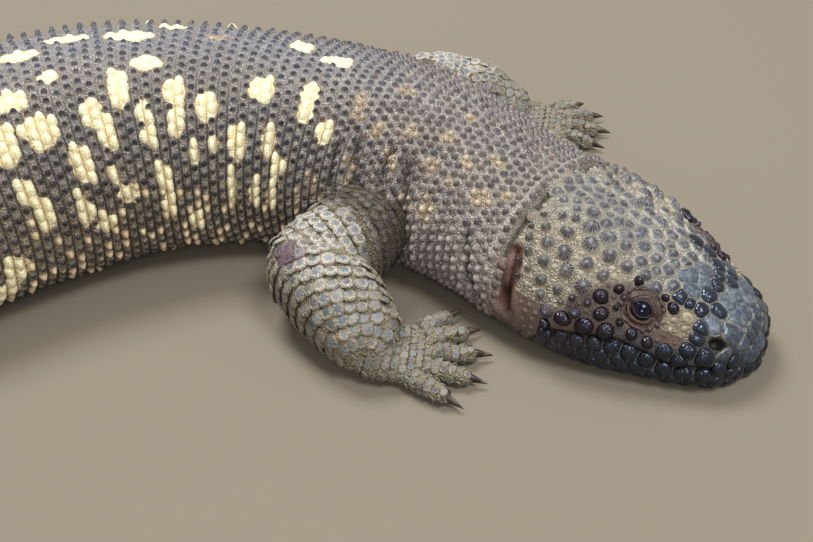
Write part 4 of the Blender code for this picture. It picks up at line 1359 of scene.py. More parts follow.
def leg_tones(at, draw, colours):
    """Colours of the tips and rims of the leg's beads."""
    dust = np.array(colours.dust)
    inner = shade_of_legs(at)
    sore = 0.8 * ramp(6.0, 3.5, np.linalg.norm(at - np.array(SORE_AT), axis=1))
    tip = mix("#39414c", "#626971", draw[:, 0])
    tip = mix(tip, dust, 0.3 * draw[:, 1])
    tip = mix(tip, mix("#49413a", "#61584c", draw[:, 1]), 0.9 * inner)
    ground = mix(dust * 0.95, dust * 0.62, draw[:, 2])
    ground = mix(ground, "#ddd5c1", 0.8 * ramp(19, 27, at[:, 2]))
    ground = mix(ground, mix("#6d6252", "#4e443a", draw[:, 2]), inner)
    tip = np.column_stack([mix(tip, "#503c50", sore), np.full(len(at), 0.6)])
    # The rim colour's alpha is the strength of the painted shade at the bead's foot; at this value the tips
    # also get their streaks.
    return tip, with_alpha(mix(ground, "#6d4a52", sore), 0.4)


def shade_of_legs(points):
    """1 on the upper arms and thighs near the body, where the skin is darker, 0 further out."""
    shoulders = [np.array(plan["upper"][0][:3], float) for plan in LEGS.values()]
    shares = [ramp(29, 20, np.linalg.norm(points - place, axis=1)) for place in shoulders]
    return np.max(shares, axis=0)


def trunk_bead_places():
    """The places of the trunk's beads that are already made, by cell."""
    cells = Cells()
    for name in ("neck_beads", "torso_beads_front", "torso_beads_rear"):
        mesh = bpy.data.objects[name].data
        local = np.zeros(len(mesh.vertices) * 3)
        mesh.attributes["dome"].data.foreach_get("vector", local)
        local = local.reshape(-1, 3)
        for point in mesh_points(mesh)[np.hypot(local[:, 0], local[:, 1]) < 0.001]:
            cells.keep(point)
    return cells


# Scales of the head that the eye sees first, by kind: mm behind the snout, degrees above the
# right side (past 90 is left of the middle) and half width in mm. All but the dusty ones have a
# twin on the left where there is room for it.
NAMED_SCALES = {
    "dome": (
        (50.8, 62, 2.2), (46.8, 72, 2.6), (48.8, 80, 2.2), (53.2, 52, 2.2), (48.4, 52, 2.5),
        (44, 63, 2.5), (41.2, 71, 2.5), (38.4, 62, 2.3), (42, 52, 2.4), (45.6, 43, 2.5),
        (51.6, 42, 2), (36.4, 71, 2.2), (33.2, 61, 1.9), (50, 32, 2), (40, 40, 2.4),
        (36.8, 50, 2), (45.2, 32, 1.7), (48.8, 24, 1.6), (56.4, 42, 1.5), (54.4, 34, 1.3),
        (56, 59, 1.5), (58, 49, 1.4), (41.2, 31, 1.2), (37.2, 32, 1.2), (46, 16, 1.9),
        (43.2, 26, 1), (39.2, 23, 1.8), (58.4, 64, 1.3), (54.4, 69, 1.5), (51.2, 72, 1.4),
        (59.2, 55, 1.1), (57.6, 35, 1), (56, 27, 1),
    ),
    "crown": (
        (44, 78, 1.8), (52.8, 77, 1.4), (52, 85, 1.8), (48, 88, 1.4), (58.4, 87, 1.7),
        (54.8, 91, 1.8), (49.2, 96, 1.5), (48.8, 104, 1.7), (42.8, 102, 2.1), (44, 89, 1.7),
        (40.4, 94, 1.4), (39.6, 85, 1.4), (44.8, 84, 1.2), (36.8, 94, 1.7), (38.4, 103, 1.9),
        (34.4, 102, 2.1), (36.4, 114, 1.9), (35.6, 85, 2.2), (38.4, 78, 2.1), (32.4, 90, 2.2),
        (29.6, 97, 2.1), (32.4, 77, 2.1), (29.6, 83, 2), (31.2, 68, 2.1), (28.8, 75, 1.9),
        (24.4, 80, 1.9), (26.8, 68, 1.5), (24.8, 73, 1.9), (28.4, 62, 2.1), (26.4, 85, 1.8),
        (26.2, 97, 2.1), (22.6, 86, 1.8), (24.8, 58, 1.8), (21.6, 66, 2),
    ),
    "snout": (
        (20, 81, 3), (17.6, 73, 2.3), (9.6, 86, 2.1), (5.4, 93, 2.4), (9, 99, 2),
        (5.4, 79, 2.3), (9.6, 59, 2.6), (4.4, 62, 2.6), (1.2, 75, 2.2), (1.4, 92, 2.1),
        (1.2, 52, 2.2), (4.2, 34, 2), (0.6, 31, 2), (6.2, 108, 2.1),
    ),
    "gloss": (
        (18.8, 63, 2.4), (16.4, 63, 1.5), (14, 79, 2.2), (10, 73, 2.1), (13.2, 64, 1.9),
        (14, 91, 1.9), (24.8, 112, 2.4), (21.2, 115, 2.2), (17.2, 111, 2.1), (12, 107, 1.9),
        (11.2, 50, 1.9), (10.9, 39, 1.8), (15.2, 101, 1.8),
    ),
    "dusty": ((14.9, 52, 1.8), (17.4, 45, 1.1), (19.4, 40, 0.9), (14.4, 43, 1), (17.2, 37, 0.9)),
    "wet": (
        (18.9, 53, 1.9), (21.6, 56, 1.3), (34.8, 39, 2.4),
        (33.2, 29, 2.2), (32, 47, 1.7), (28.8, 57, 1.7), (28.4, 28, 1.3), (30.6, 36, 1),
        (41.6, 16, 2.5), (36, 17, 2.7), (30.8, 19, 2.6), (24.8, 23, 1.9), (20.8, 21, 1.9),
        (45.6, 7, 1.7),
    ),
    "lip": (
        (16.4, 19, 2.2), (11.6, 26, 2.4), (7.6, 23, 2.4),
    ),
}
# Facts of each kind of scale, in this order: mm of rise over the skin, flatness of the top, gap to
# the neighbours, half width, how deep the edge dips, height of the radial ridges against the rise,
# share of the radius where dust begins, shine and colour.
SCALE_FACTS = ("rise", "flat", "gap", "room", "sink", "ridge", "rim", "shine", "colour")
SCALE_ROWS = {
    "snout": (0.5, 8.0, 0.0, 2.3, 0.1, 0.0, 0.93, 0.88, "#343d46"),
    "gloss": (1.0, 2.6, 0.04, 2.0, 0.3, 0.05, 0.9, 0.97, "#161b23"),
    "dusty": (0.9, 1.7, 0.2, 1.3, 0.4, 0.0, 0.1, 0.2, "#7d735f"),
    "crown": (1.2, 1.7, 0.08, 1.8, 0.4, 0.1, 0.62, 0.6, "#2a2c34"),
    "dome": (2.1, 1.4, 0.0, 2.2, 0.45, 0.14, 0.74, 0.58, "#33333b"),
    "pebble": (0.5, 1.8, 0.3, 1.25, 0.45, 0.0, 0.5, 0.3, "#90856e"),
    "wet": (1.75, 2.0, 0.15, 2.0, 0.45, 0.1, 0.98, 1.0, "#1c1214"),
    "lip": (1.05, 2.9, 0.03, 2.1, 0.4, 0.07, 0.97, 0.95, "#14171b"),
    "jaw": (0.8, 3.2, 0.02, 2.1, 0.35, 0.04, 0.95, 0.9, "#171a1e"),
    "throat": (0.8, 2.0, 0.15, 1.6, 0.4, 0.05, 0.8, 0.5, "#5d4b45"),
    "lidscale": (0.7, 1.8, 0.05, 0.95, 0.45, 0.0, 0.7, 0.75, "#3d2c27"),
}
SCALE_KINDS = {kind: dict(zip(SCALE_FACTS, row)) for kind, row in SCALE_ROWS.items()}
LID_CLEAR = 5.2        # mm from the middle of the eye where the scales start
LID_SCALES = 17
LID_GAPS = 0.4         # share of the ring of small scales round the eye that is left out
NOSTRIL_CLEAR = 2.1    # mm that the scales keep from the middle of the nostril
EAR_CLEAR = 2.4        # mm that they keep from the ear's slit
DART = 0.8             # how near seeds may fall before they are evened out, against their rooms
LIP_STATIONS = (1.6, 6.4, 11.2, 15.6, 20, 24.2, 28.4, 32.6, 36.8, 41, 45.4)
# Rows of the lips and lower jaw: mm above the mouth line, kind, and shift along it in scales.
LIP_ROWS = (
    (1.7, "lip", 0.0), (-1.7, "lip", 0.0), (-5.0, "jaw", 0.5), (-8.2, "jaw", 0.0), (-11.2, "jaw", 0.5),
)


def scale_kind(s, above):
    """Kind of the scales that fill a place on the head, by its angle above the side."""
    mouth = float(mouth_angle(min(s, MOUTH_CORNER)))
    if above < mouth - 6:
        return "jaw" if s < 50 else "throat"
    if above < mouth + 11 and s < 48:
        return "lip"
    if 12.5 < s < 22 and mouth + 12 < above < 53:
        return "pebble"
    if s < 15.5 + 0.06 * above:
        return "snout"
    if s > 60.5:
        return "throat"
    if above > 76 or (s < 32 and above > 55):
        return "crown"
    return "pebble"


def head_samples():
    """Places spread evenly over the head, as arrays of s, angle and point."""
    found = []
    for s in np.concatenate([np.arange(-3.6, 0, 0.45), np.arange(0, 61.5, 0.75)]):
        share = float(np.clip(1 + s / SNOUT_CAP, 0.1, 1))
        reach = float(ARCS.arc(max(s, 0), 245.0))
        arcs = np.arange(-reach, reach, 0.75 / share)
        found += [(s, angle) for angle in ARCS.angle_at(max(s, 0), arcs)]
    rows = np.array(found)
    points = skin_at(rows[:, 0], rows[:, 1])
    high = points[:, 2] > 1.0
    return rows[high, 0], rows[high, 1], points[high]


def blocked_places():
    """Middles and radii of the places that the head's scales leave free."""
    blocked = []
    for side in SIDES:
        blocked.append((feature(EYE_AT, side)[0], LID_CLEAR))
        blocked.append((feature(NOSTRIL_AT, side)[0], NOSTRIL_CLEAR))
        for s, above in EAR_FOLD:
            blocked.append((skin_at(s, side_angle(above, side)), EAR_CLEAR))
    return blocked


def room_at(point, seeds):
    """Distance of a point to the nearest edge of the scales that are already there."""
    return min(np.linalg.norm(skin_at(s, angle) - point) - room for s, angle, room, _ in seeds)


def lid_seeds(seeds, rng):
    """Small scales in a ring round each eye, where the named ones leave room."""
    found = []
    for side in SIDES:
        point, ahead, up, out = feature(EYE_AT, side)
        for k in range(LID_SCALES):
            if rng.random() < LID_GAPS:
                continue
            turn = 2 * math.pi * (k + rng.uniform(-0.2, 0.2)) / LID_SCALES
            spot = point + LID_CLEAR * 1.06 * (ahead * math.cos(turn) + up * math.sin(turn))
            near = EYE_AT[0] + np.linspace(-7, 7, 57)[:, None]
            angles = side_angle(EYE_AT[1] + np.linspace(-22, 22, 57), side)[None, :]
            away = np.linalg.norm(skin_at(near, angles) - spot, axis=2)
            row, column = np.unravel_index(np.argmin(away), away.shape)
            place = (float(near[row, 0]), float(angles[0, column]))
            if room_at(skin_at(*place), seeds) > 0.5:
                found.append((*place, rng.uniform(0.55, 1.15), "lidscale"))
    return found


def fixed_seeds(rng):
    """The named scales and the rows of the lips and lower jaw, of both sides."""
    named = [(kind, *row) for kind, rows in NAMED_SCALES.items() for row in rows]
    seeds = [(s, side_angle(above, "right"), room, kind) for kind, s, above, room in named]
    for kind, s, above, room in named:
        if kind != "dusty" and room_at(skin_at(s, above), seeds) > 0.75 * room:
            seeds.append((s, side_angle(above, "left"), room, kind))
    stations = np.array(LIP_STATIONS)
    taken = len(seeds)
    for offset, kind, shift in LIP_ROWS:
        for s, following in zip(stations, np.append(stations[1:], stations[-1] + 4)):
            s = s + shift * (following - s)
            base = abs(float(ARCS.arc(s, mouth_angle(s))))
            for side, sign in zip(SIDES, (-1, 1)):
                angle = float(ARCS.angle_at(s, sign * (base - offset)))
                point = skin_at(s, angle)
                if point[2] > 1.0 and room_at(point, seeds[:taken]) > 1.3:
                    seeds.append((s, angle, 2.2, kind))
    return seeds + lid_seeds(seeds, rng)


def head_seeds(rng):
    """Places, rooms and kinds of the head's scales, evened out between the fixed ones."""
    blocked = blocked_places()
    all_s, all_angle, samples = head_samples()
    free = np.ones(len(samples), bool)
    for middle, clear in blocked:
        free &= np.linalg.norm(samples - middle, axis=1) > clear
    all_s, all_angle, samples = all_s[free], all_angle[free], samples[free]
    above = np.where(all_angle > 90, 180 - all_angle, all_angle)
    kinds = [scale_kind(s, a) for s, a in zip(all_s, above)]
    sample_rooms = np.array([SCALE_KINDS[kind]["room"] for kind in kinds])
    seeds = fixed_seeds(rng)
    fixed = len(seeds)
    points = np.array([skin_at(s, a) for s, a, _, _ in seeds])
    rooms = np.array([seed[2] for seed in seeds])
    order = list(range(len(samples)))
    rng.shuffle(order)
    chosen = []
    for k in order:
        away = np.linalg.norm(points - samples[k], axis=1)
        if np.all(away > DART * (rooms + sample_rooms[k])):
            chosen.append(k)
            points = np.vstack([points, samples[k]])
            rooms = np.append(rooms, sample_rooms[k])
    chosen = np.array(chosen)
    for _ in range(14):
        squares = (samples ** 2).sum(axis=1)[:, None] + (points ** 2).sum(axis=1) - 2 * samples @ points.T
        owner = np.argmin(squares / rooms ** 2, axis=1)
        for k in range(len(chosen)):
            mine = samples[owner == fixed + k]
            if len(mine):
                chosen[k] = np.argmin(np.linalg.norm(samples - mine.mean(axis=0), axis=1))
        points[fixed:] = samples[chosen]
        rooms[fixed:] = sample_rooms[chosen]
    seeds += [(all_s[k], all_angle[k], sample_rooms[k], kinds[k]) for k in chosen]
    return seeds, points, blocked


HEAD_RINGS = (0.96, 0.8, 0.5)
HEAD_SIDES = 18
# How sharp the corners of the scales are, by kind.
CORNERS = {"lip": 7, "jaw": 7, "throat": 7, "snout": 30}
USUAL_CORNERS = 14


def cell_reach(at, ahead, around, neighbours, room, rooms, blocked, turn, sharp):
    """Distance from a seed to the edge of its own cell in each direction of turn."""
    offset = neighbours - at
    flat = np.stack([offset @ ahead, offset @ around], axis=1)
    away = np.linalg.norm(flat, axis=1)
    share = room / (room + rooms)
    facing = flat @ np.stack([np.cos(turn), np.sin(turn)])
    rows = [np.where(facing > 0.05, (share * away ** 2)[:, None] / np.maximum(facing, 0.05), 99.0)]
    for middle, clear in blocked:
        offset = middle - at
        away = np.linalg.norm(offset)
        if away < clear + 2 * room:
            facing = (np.cos(turn) * (offset @ ahead) + np.sin(turn) * (offset @ around)) / away
            rows.append(np.where(facing > 0.05, max(away - clear, 0.6) / np.maximum(facing, 0.05), 99.0))
    rows.append(np.full(len(turn), (1.35 if sharp < 20 else 1.7) * room))
    nearest = np.vstack(rows)
    return np.sum(nearest ** -sharp, axis=0) ** (-1 / sharp)


def head_tones(s, arc, kinds, colours, rng):
    """Colours of the head's scales and of the dust at their rims, with their shine."""
    ground = ground_colour(s, arc, colours)
    tones = []
    rims = []
    for k, kind in enumerate(kinds):
        facts = SCALE_KINDS[kind]
        base = np.array(linear(facts["colour"]))
        if kind in ("snout", "gloss"):
            base = mix(colours.snout, base, 0.7)
        tone = base * rng.uniform(0.75, 1.25)
        rim = ground[k]
        top = float(ramp(13, 8, abs(arc[k])) * ramp(3, 7, s[k])) * (kind == "snout")
        if kind == "pebble":
            tone = mix(tone, ground[k], 0.75) * 0.75
        if kind == "lidscale":
            rim = mix(base, rim, 0.5)
        if kind in ("lip", "jaw", "wet"):
            rim = mix(base * 0.8, "#77736a", 0.15 + 0.3 * rng.random() * (s[k] < 30))
        if kind == "lip" and s[k] > 30:
            tone = mix(tone, "#2c2427", 0.3)
        if kind == "jaw":
            tone = mix(tone, "#43322e", ramp(38, 54, s[k]))
        if kind == "snout":
            tone = mix(tone, "#50575c", 0.75 * top * rng.uniform(0.4, 1.0))
            rim = mix("#b3ab94", "#949791", top)
        if kind == "gloss":
            rim = linear("#8a8576")
        tones.append([*tone, facts["shine"] - 0.3 * top])
        rims.append([*rim, facts["rim"]])
    return np.array(tones), np.array(rims)


class HeadScales(bpy.types.Operator):
    """Fits the plates, domes and lip scales over the head"""

    bl_idname = "lizard.head_scales"
    bl_label = "Head scales"

    def execute(self, context):
        rng = random.Random(context.scene.lizard_sizes.seed + 2)
        tree = smooth_head()
        seeds, points, blocked = head_seeds(rng)
        s, angle, rooms = np.array([seed[:3] for seed in seeds], float).T
        kinds = [seed[3] for seed in seeds]
        at, ahead, around, _ = skin_frame(s, angle)
        template = dome(HEAD_SIDES, HEAD_RINGS)
        reach, turn, _ = template
        shape = np.zeros((len(seeds), len(reach), 3))
        local = np.zeros_like(shape)
        for k, kind in enumerate(kinds):
            facts = SCALE_KINDS[kind]
            near = np.linalg.norm(points - points[k], axis=1)
            others = (near < 9) & (near > 0.01)
            sharp = float(CORNERS.get(kind, USUAL_CORNERS))
            walls = () if kind in ("wet", "lidscale") else blocked
            edge = cell_reach(
                at[k], ahead[k], around[k], points[others], rooms[k], rooms[others], walls, turn, sharp
            )
            if kind in ("dome", "wet", "lidscale", "dusty"):
                edge = np.minimum(edge, rooms[k] * (1 + 0.07 * np.cos(2 * turn + k)))
            if kind == "pebble":
                edge = np.minimum(edge, rooms[k] * (0.62 + 0.3 * rng.random()))
            radius = (edge - facts["gap"]) * reach
            flat = at[k] + ahead[k] * (radius * np.cos(turn))[:, None]
            flat = flat + around[k] * (radius * np.sin(turn))[:, None]
            fall = np.maximum(0, 1 - reach ** facts["flat"]) ** 0.75
            lift = facts["rise"] * rng.uniform(0.85, 1.15) * fall
            ridges = np.cos(HEAD_SIDES / 2 * turn) * 4 * reach * (1 - reach)
            lift = lift + facts["rise"] * facts["ridge"] * ridges
            lift = np.where(reach > 0.99, -facts["sink"], lift)
            for j, spot in enumerate(flat):
                base, normal, _, _ = tree.find_nearest(Vector(spot))
                shape[k, j] = np.array(base) + np.array(normal) * lift[j]
            furrows = np.full(len(reach), facts["ridge"] / SCALE_KINDS["dome"]["ridge"])
            local[k] = np.stack([reach * np.cos(turn), reach * np.sin(turn), furrows], axis=1)
        tones, grounds = head_tones(s, ARCS.arc(s, angle), kinds, context.scene.lizard_colours, rng)
        roots = bake_roots((s + 1) / 66, (angle + 90) / 360)
        piece = studs("head_scales", template, shape, local, roots, tones, grounds)
        dress(piece, polished_horn_plates)
        return {"FINISHED"}


class Eyes(bpy.types.Operator):
    """Makes the wet eyeballs and the wrinkled lids round them"""

    bl_idname = "lizard.eyes"
    bl_label = "Eyes and lids"

    def execute(self, context):
        for side in SIDES:
            point, ahead, up, out = [Vector(v) for v in feature(EYE_AT, side)]
            centre = point - out * EYE_SUNK
            ball = eyeball("eye_ball_" + side, centre, ahead, up, out)
            dress(ball, wet_eye)
            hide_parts("eye_" + side)
            dress(eyelid("eyelids_" + side, centre, ahead, up, out), bare_lid_skin)
        return {"FINISHED"}


def eyeball(name, centre, ahead, up, out):
    """A ball with its pole outwards and a raised cornea."""
    bm = bmesh.new()
    bmesh.ops.create_uvsphere(bm, u_segments=48, v_segments=32, radius=EYE_RADIUS)
    points = np.array([v.co for v in bm.verts])
    bulge = 0.28 * ramp(0.62, 0.98, points[:, 2] / EYE_RADIUS)
    points = points * (1 + bulge / EYE_RADIUS)[:, None]
    disc = points / EYE_RADIUS
    axes = np.array([ahead, up, out])
    lay(bm, points @ axes + np.array(centre))
    bmesh.ops.recalc_face_normals(bm, faces=bm.faces)
    ball = new_object(name, bm)
    add_values(ball.data, "iris", disc)
    return ball


LID_OPENING = (2.4, 1.85)     # half length and half height of the opening, mm
LID_OUTER = (5.7, 5.5)        # the same of the lids' outer edge
LID_TILT = -8.0               # degrees


def eyelid(name, centre, ahead, up, out):
    """A ring of wrinkled skin from the edge of the opening out under the head's scales."""
    around = 120
    rows = 30
    bm = param_grid(rows, around)
    row, column = places(bm)
    turn = column * 2 * math.pi / around
    t = row / rows
    lean = math.radians(LID_TILT)
    corners = np.abs(np.sin(turn)) ** (0.3 * (1 - t))
    wobble = 1 + (0.035 * np.sin(5 * turn) + 0.025 * np.sin(8 * turn + 1)) * t
    wide = (LID_OPENING[0] + (LID_OUTER[0] - LID_OPENING[0]) * t) * wobble
    high = (LID_OPENING[1] * (1 - t) + LID_OUTER[1] * t) * corners * wobble
    flat_x = np.cos(turn) * wide
    flat_y = np.sin(turn) * high
    x = flat_x * math.cos(lean) - flat_y * math.sin(lean)
    y = flat_x * math.sin(lean) + flat_y * math.cos(lean)
    ball = np.sqrt(np.maximum((EYE_RADIUS + 0.15) ** 2 - x ** 2 - y ** 2, 1.0))
    skin = EYE_SUNK - 0.2 - 0.012 * (x ** 2 + y ** 2)
    ease = ramp(0.0, 0.5, t)
    upper = ramp(-0.15, 0.5, np.sin(turn))
    lower = ramp(0.1, 0.6, -np.sin(turn))
    rim = 0.4 * np.exp(-((t - 0.07) / 0.055) ** 2) - 0.22 * np.exp(-((t - 0.19) / 0.05) ** 2)
    brow = 1.1 * np.sin(math.pi * np.clip(t * 1.05, 0, 1)) * upper
    ridge = 0.75 * np.exp(-((t - 0.4) / 0.11) ** 2) - 0.35 * np.exp(-((t - 0.62) / 0.07) ** 2)
    unrest = soft_noise(x, y, 1.1, 3)
    wave = np.sin(t * 25 + 2.4 * unrest + 0.8 * np.sin(3 * turn))
    held = ramp(0.14, 0.3, t) * ramp(1, 0.8, t)
    wrinkles = (0.15 * upper + 0.08) * wave * held * (0.65 + 0.6 * soft_noise(x, y, 1.6, 5))
    wrinkles = wrinkles + 0.09 * np.sin(17 * turn + 9 * unrest) * held
    height = ball * (1 - ease) + skin * ease + rim + brow + ridge * lower + wrinkles
    height = height - 0.9 * ramp(0.88, 1.0, t)
    axes = np.array([ahead, up, out])
    lay(bm, np.stack([x, y, height], axis=1) @ axes + np.array(centre))
    # The third fact is the painted shade in the troughs of the wrinkles.
    facts = np.stack([t, lower * np.exp(-((t - 0.4) / 0.13) ** 2), 0.5 - 0.5 * wave * held], axis=1)
    layer = bm.verts.layers.float_vector.new("lid")
    for vert, fact in zip(bm.verts, facts):
        vert[layer] = fact
    bmesh.ops.remove_doubles(bm, verts=bm.verts, dist=0.002)
    bmesh.ops.recalc_face_normals(bm, faces=bm.faces)
    middle = Vector(centre)
    if sum((face.calc_center_median() - middle).dot(face.normal) for face in bm.faces) < 0:
        bmesh.ops.reverse_faces(bm, faces=bm.faces)
    return new_object(name, bm)


class Claws(bpy.types.Operator):
    """Makes the curved claws at the ends of the toes"""

    bl_idname = "lizard.claws"
    bl_label = "Claws"

    def execute(self, context):
        for leg, plan in LEGS.items():
            for number in range(5):
                joints, ahead = toe_joints(plan, number)
                piece = claw(f"{leg}_claw_horn_{number + 1}", Vector(joints[-1][:3]), ahead)
                dress(piece, claw_horn)
                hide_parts(f"{leg}_claw_{number + 1}")
        return {"FINISHED"}


def claw(name, tip, ahead):
    """A claw from a cone whose rings are bent down along an arc."""
    length = CLAW_LENGTH + CLAW_ROOT
    bm = bmesh.new()
    bmesh.ops.create_cone(
        bm, cap_ends=True, segments=14, radius1=CLAW_RADIUS, radius2=0.12, depth=length
    )
    sides = [e for e in bm.edges if abs(e.verts[0].co.z - e.verts[1].co.z) > 1]
    bmesh.ops.bisect_edges(bm, edges=sides, cuts=9)
    side = Vector((-ahead.y, ahead.x, 0))
    for vert in bm.verts:
        along = (vert.co.z + length / 2) / length
        swell = 1 + 0.25 * math.sin(math.pi * min(1, along * 1.4)) * (1 - along)
        drop = -1.0 * along ** 2 + 0.5 * math.sin(math.pi * along)
        spot = tip + ahead * (length * along - 1.2)
        height = max(tip.z + drop + vert.co.y * swell, 0.03)
        vert.co = Vector((spot.x, spot.y, height)) + side * vert.co.x * 0.72 * swell
    bmesh.ops.recalc_face_normals(bm, faces=bm.faces)
    return new_object(name, bm)


# The steps that the materials' patterns are put together from: node, settings, what is given in
# order, and output. Any other step is the name of an operation on numbers.
PATTERN_STEPS = {
    "place": ("ShaderNodeTexCoord", {}, (), "Object"),
    "stored": ("ShaderNodeAttribute", {}, ("attribute_name",), None),
    "noise": ("ShaderNodeTexNoise", {}, ("Vector", "Scale", "Detail", "Roughness"), 0),
    "cells": ("ShaderNodeTexVoronoi", {"feature": "F1"}, ("Vector", "Scale"), "Distance"),
    "ramp": ("ShaderNodeMapRange", {"interpolation_type": "SMOOTHSTEP"}, (0, 1, 2, 3, 4), 0),
    "blend": ("ShaderNodeMix", {"data_type": "RGBA"}, (0, 6, 7), 2),
    "brighten": ("ShaderNodeVectorMath", {"operation": "SCALE"}, (0, "Scale"), 0),
    "length": ("ShaderNodeVectorMath", {"operation": "LENGTH"}, (0,), "Value"),
    "split": ("ShaderNodeSeparateXYZ", {}, (0,), None),
    "join": ("ShaderNodeCombineXYZ", {}, (0, 1), 0),
    "bump": ("ShaderNodeBump", {}, ("Strength", "Distance", "Height"), 0),
}
# Scales of the noises, per metre, with the size in mm of what they draw. Grains of dust and the
# pores of horn are finer than the render can show, so they are drawn this coarse.
DRIFT_NOISE = 60.0              # 17, slow changes of the hide's colour
DUST_NOISE = 420.0              # 2.4, clumps of dust
STREAK_NOISE = 700.0            # 1.4, unrest in the radial growth streaks
BEAD_NOISES = (260.0, 900.0)    # 3.8 and 1.1, patches and specks on beads
PLATE_NOISES = (190.0, 800.0)   # 5.3 and 1.3, patches and specks on plates
LID_NOISES = (320.0, 1400.0)    # 3.1 and 0.7, patches and pores of the lids
CLAW_NOISE = 500.0              # 2.0, wear of the claws


class Finish:
    """A material while it is made, with its tree of nodes and its shader."""

    def __init__(self, name):
        self.material = bpy.data.materials.new(name)
        self.material.use_nodes = True
        self.tree = self.material.node_tree
        self.shader = self.tree.nodes["Principled BSDF"]

    def fill(self, made, values):
        """Sets a node up. A key in small letters is a setting, any other an input, to which a socket
        is linked, and a hex code stands for its colour."""
        for key, value in values.items():
            if str(key).islower():
                setattr(made, key, value)
            elif isinstance(value, bpy.types.NodeSocket):
                self.tree.links.new(value, made.inputs[key])
            else:
                value = (*linear(value), 1.0) if isinstance(value, str) else value
                made.inputs[key].default_value = value

    def add(self, step, *values):
        """Adds the node of one step, with what it is given in order, and gives its output."""
        operation = ("ShaderNodeMath", {"operation": step}, (0, 1, 2), 0)
        kind, settings, keys, output = PATTERN_STEPS.get(step, operation)
        made = self.tree.nodes.new(kind)
        self.fill(made, {**settings, **dict(zip(keys, values))})
        return made.outputs if output is None else made.outputs[output]

    def shade(self, colour, roughness, bumps=(), others=()):
        """Fills the shader's inputs; bumps are their strength, depth in metres and height."""
        values = {"Base Color": colour, "Roughness": roughness, **dict(others)}
        if bumps:
            values["Normal"] = self.add("bump", *bumps)
        self.fill(self.shader, values)
        return self.material


def grained(add, place, colour, part):
    """A colour with the granules of the hide, painted shade at their edges and the dust between them, and
    their height.
    """
    granule = add("cells", place, 1 / bpy.context.scene.lizard_sizes.granule_width)
    speckle = add("noise", place, DUST_NOISE, 4.0, 0.65)
    light = add("ramp", granule, 0.15, 0.7, 1.0, 0.0)
    # Painted shade: the colour darkens to 0.3 at the granules' edges.
    shaded = add("blend", light, add("brighten", colour, 0.3), colour)
    colour = add("blend", add("MULTIPLY", part, 0.8), colour, shaded)
    dusty = add("MULTIPLY", add("ramp", speckle, 0.44, 0.62, 0.0, 0.5), part)
    colour = add("blend", dusty, colour, add("brighten", colour, 1.7))
    height = add("ADD", light, add("MULTIPLY", speckle, 0.6))
    return colour, add("MULTIPLY", height, part)


def dusty_granular_hide():
    """Dry reptile hide: keratin granules packed with pale dust, so it is matt and rough, with painted shade
    in its creases, folds and pits and between its granules.
    """
    finish = Finish("dusty_granular_hide")
    add = finish.add
    place = add("place")
    ground = add("stored", "ground")
    crease = add("stored", "crease")["Fac"]
    wobble = add("MULTIPLY", add("SUBTRACT", add("noise", place, DRIFT_NOISE, 3.0), 0.5), 2.6)
    field = add("ADD", add("stored", "blotch")["Fac"], wobble)
    faint = add("ADD", add("stored", "faint")["Fac"], wobble)
    pale_part = add("ramp", field, -0.6, 0.0)
    colour = add("blend", add("ramp", field, -1.7, -0.5, 0.0, 0.55), ground["Color"], "#b3977a")
    colour = add("blend", add("ramp", faint, -0.8, 0.8, 0.0, 0.8), colour, "#c4b091")
    colour = add("blend", pale_part, colour, (*bpy.context.scene.lizard_colours.pale, 1.0))
    grain = add("MULTIPLY", ground["Alpha"], add("ramp", field, -0.6, 0.0, 1.0, 0.45))
    colour, height = grained(add, place, colour, grain)
    # Painted shade: creases, folds and pits darken to near black, or to orange-brown in the pale blotches.
    deep = add("blend", pale_part, "#1a1410", "#8d7048")
    colour = add("blend", add("ramp", crease, 0.2, 0.95, 0.0, 0.75), colour, deep)
    matt = add("ramp", ground["Alpha"], 0.0, 1.0, 0.45, 0.82)
    return finish.shade(colour, matt, (1.0, 0.0006, height), {"Specular IOR Level": 0.35})


def stud_pattern(add, place, streaks):
    """Tip share, radial streaks and third value of a stud, from its own coordinates."""
    parts = add("split", add("stored", "dome")["Vector"])
    reach = add("length", add("join", parts[0], parts[1]))
    unrest = add("MULTIPLY", add("noise", place, STREAK_NOISE), 6.0)
    spokes = add("SINE", add("MULTIPLY_ADD", add("ARCTAN2", parts[1], parts[0]), streaks, unrest))
    return reach, spokes, parts[2]


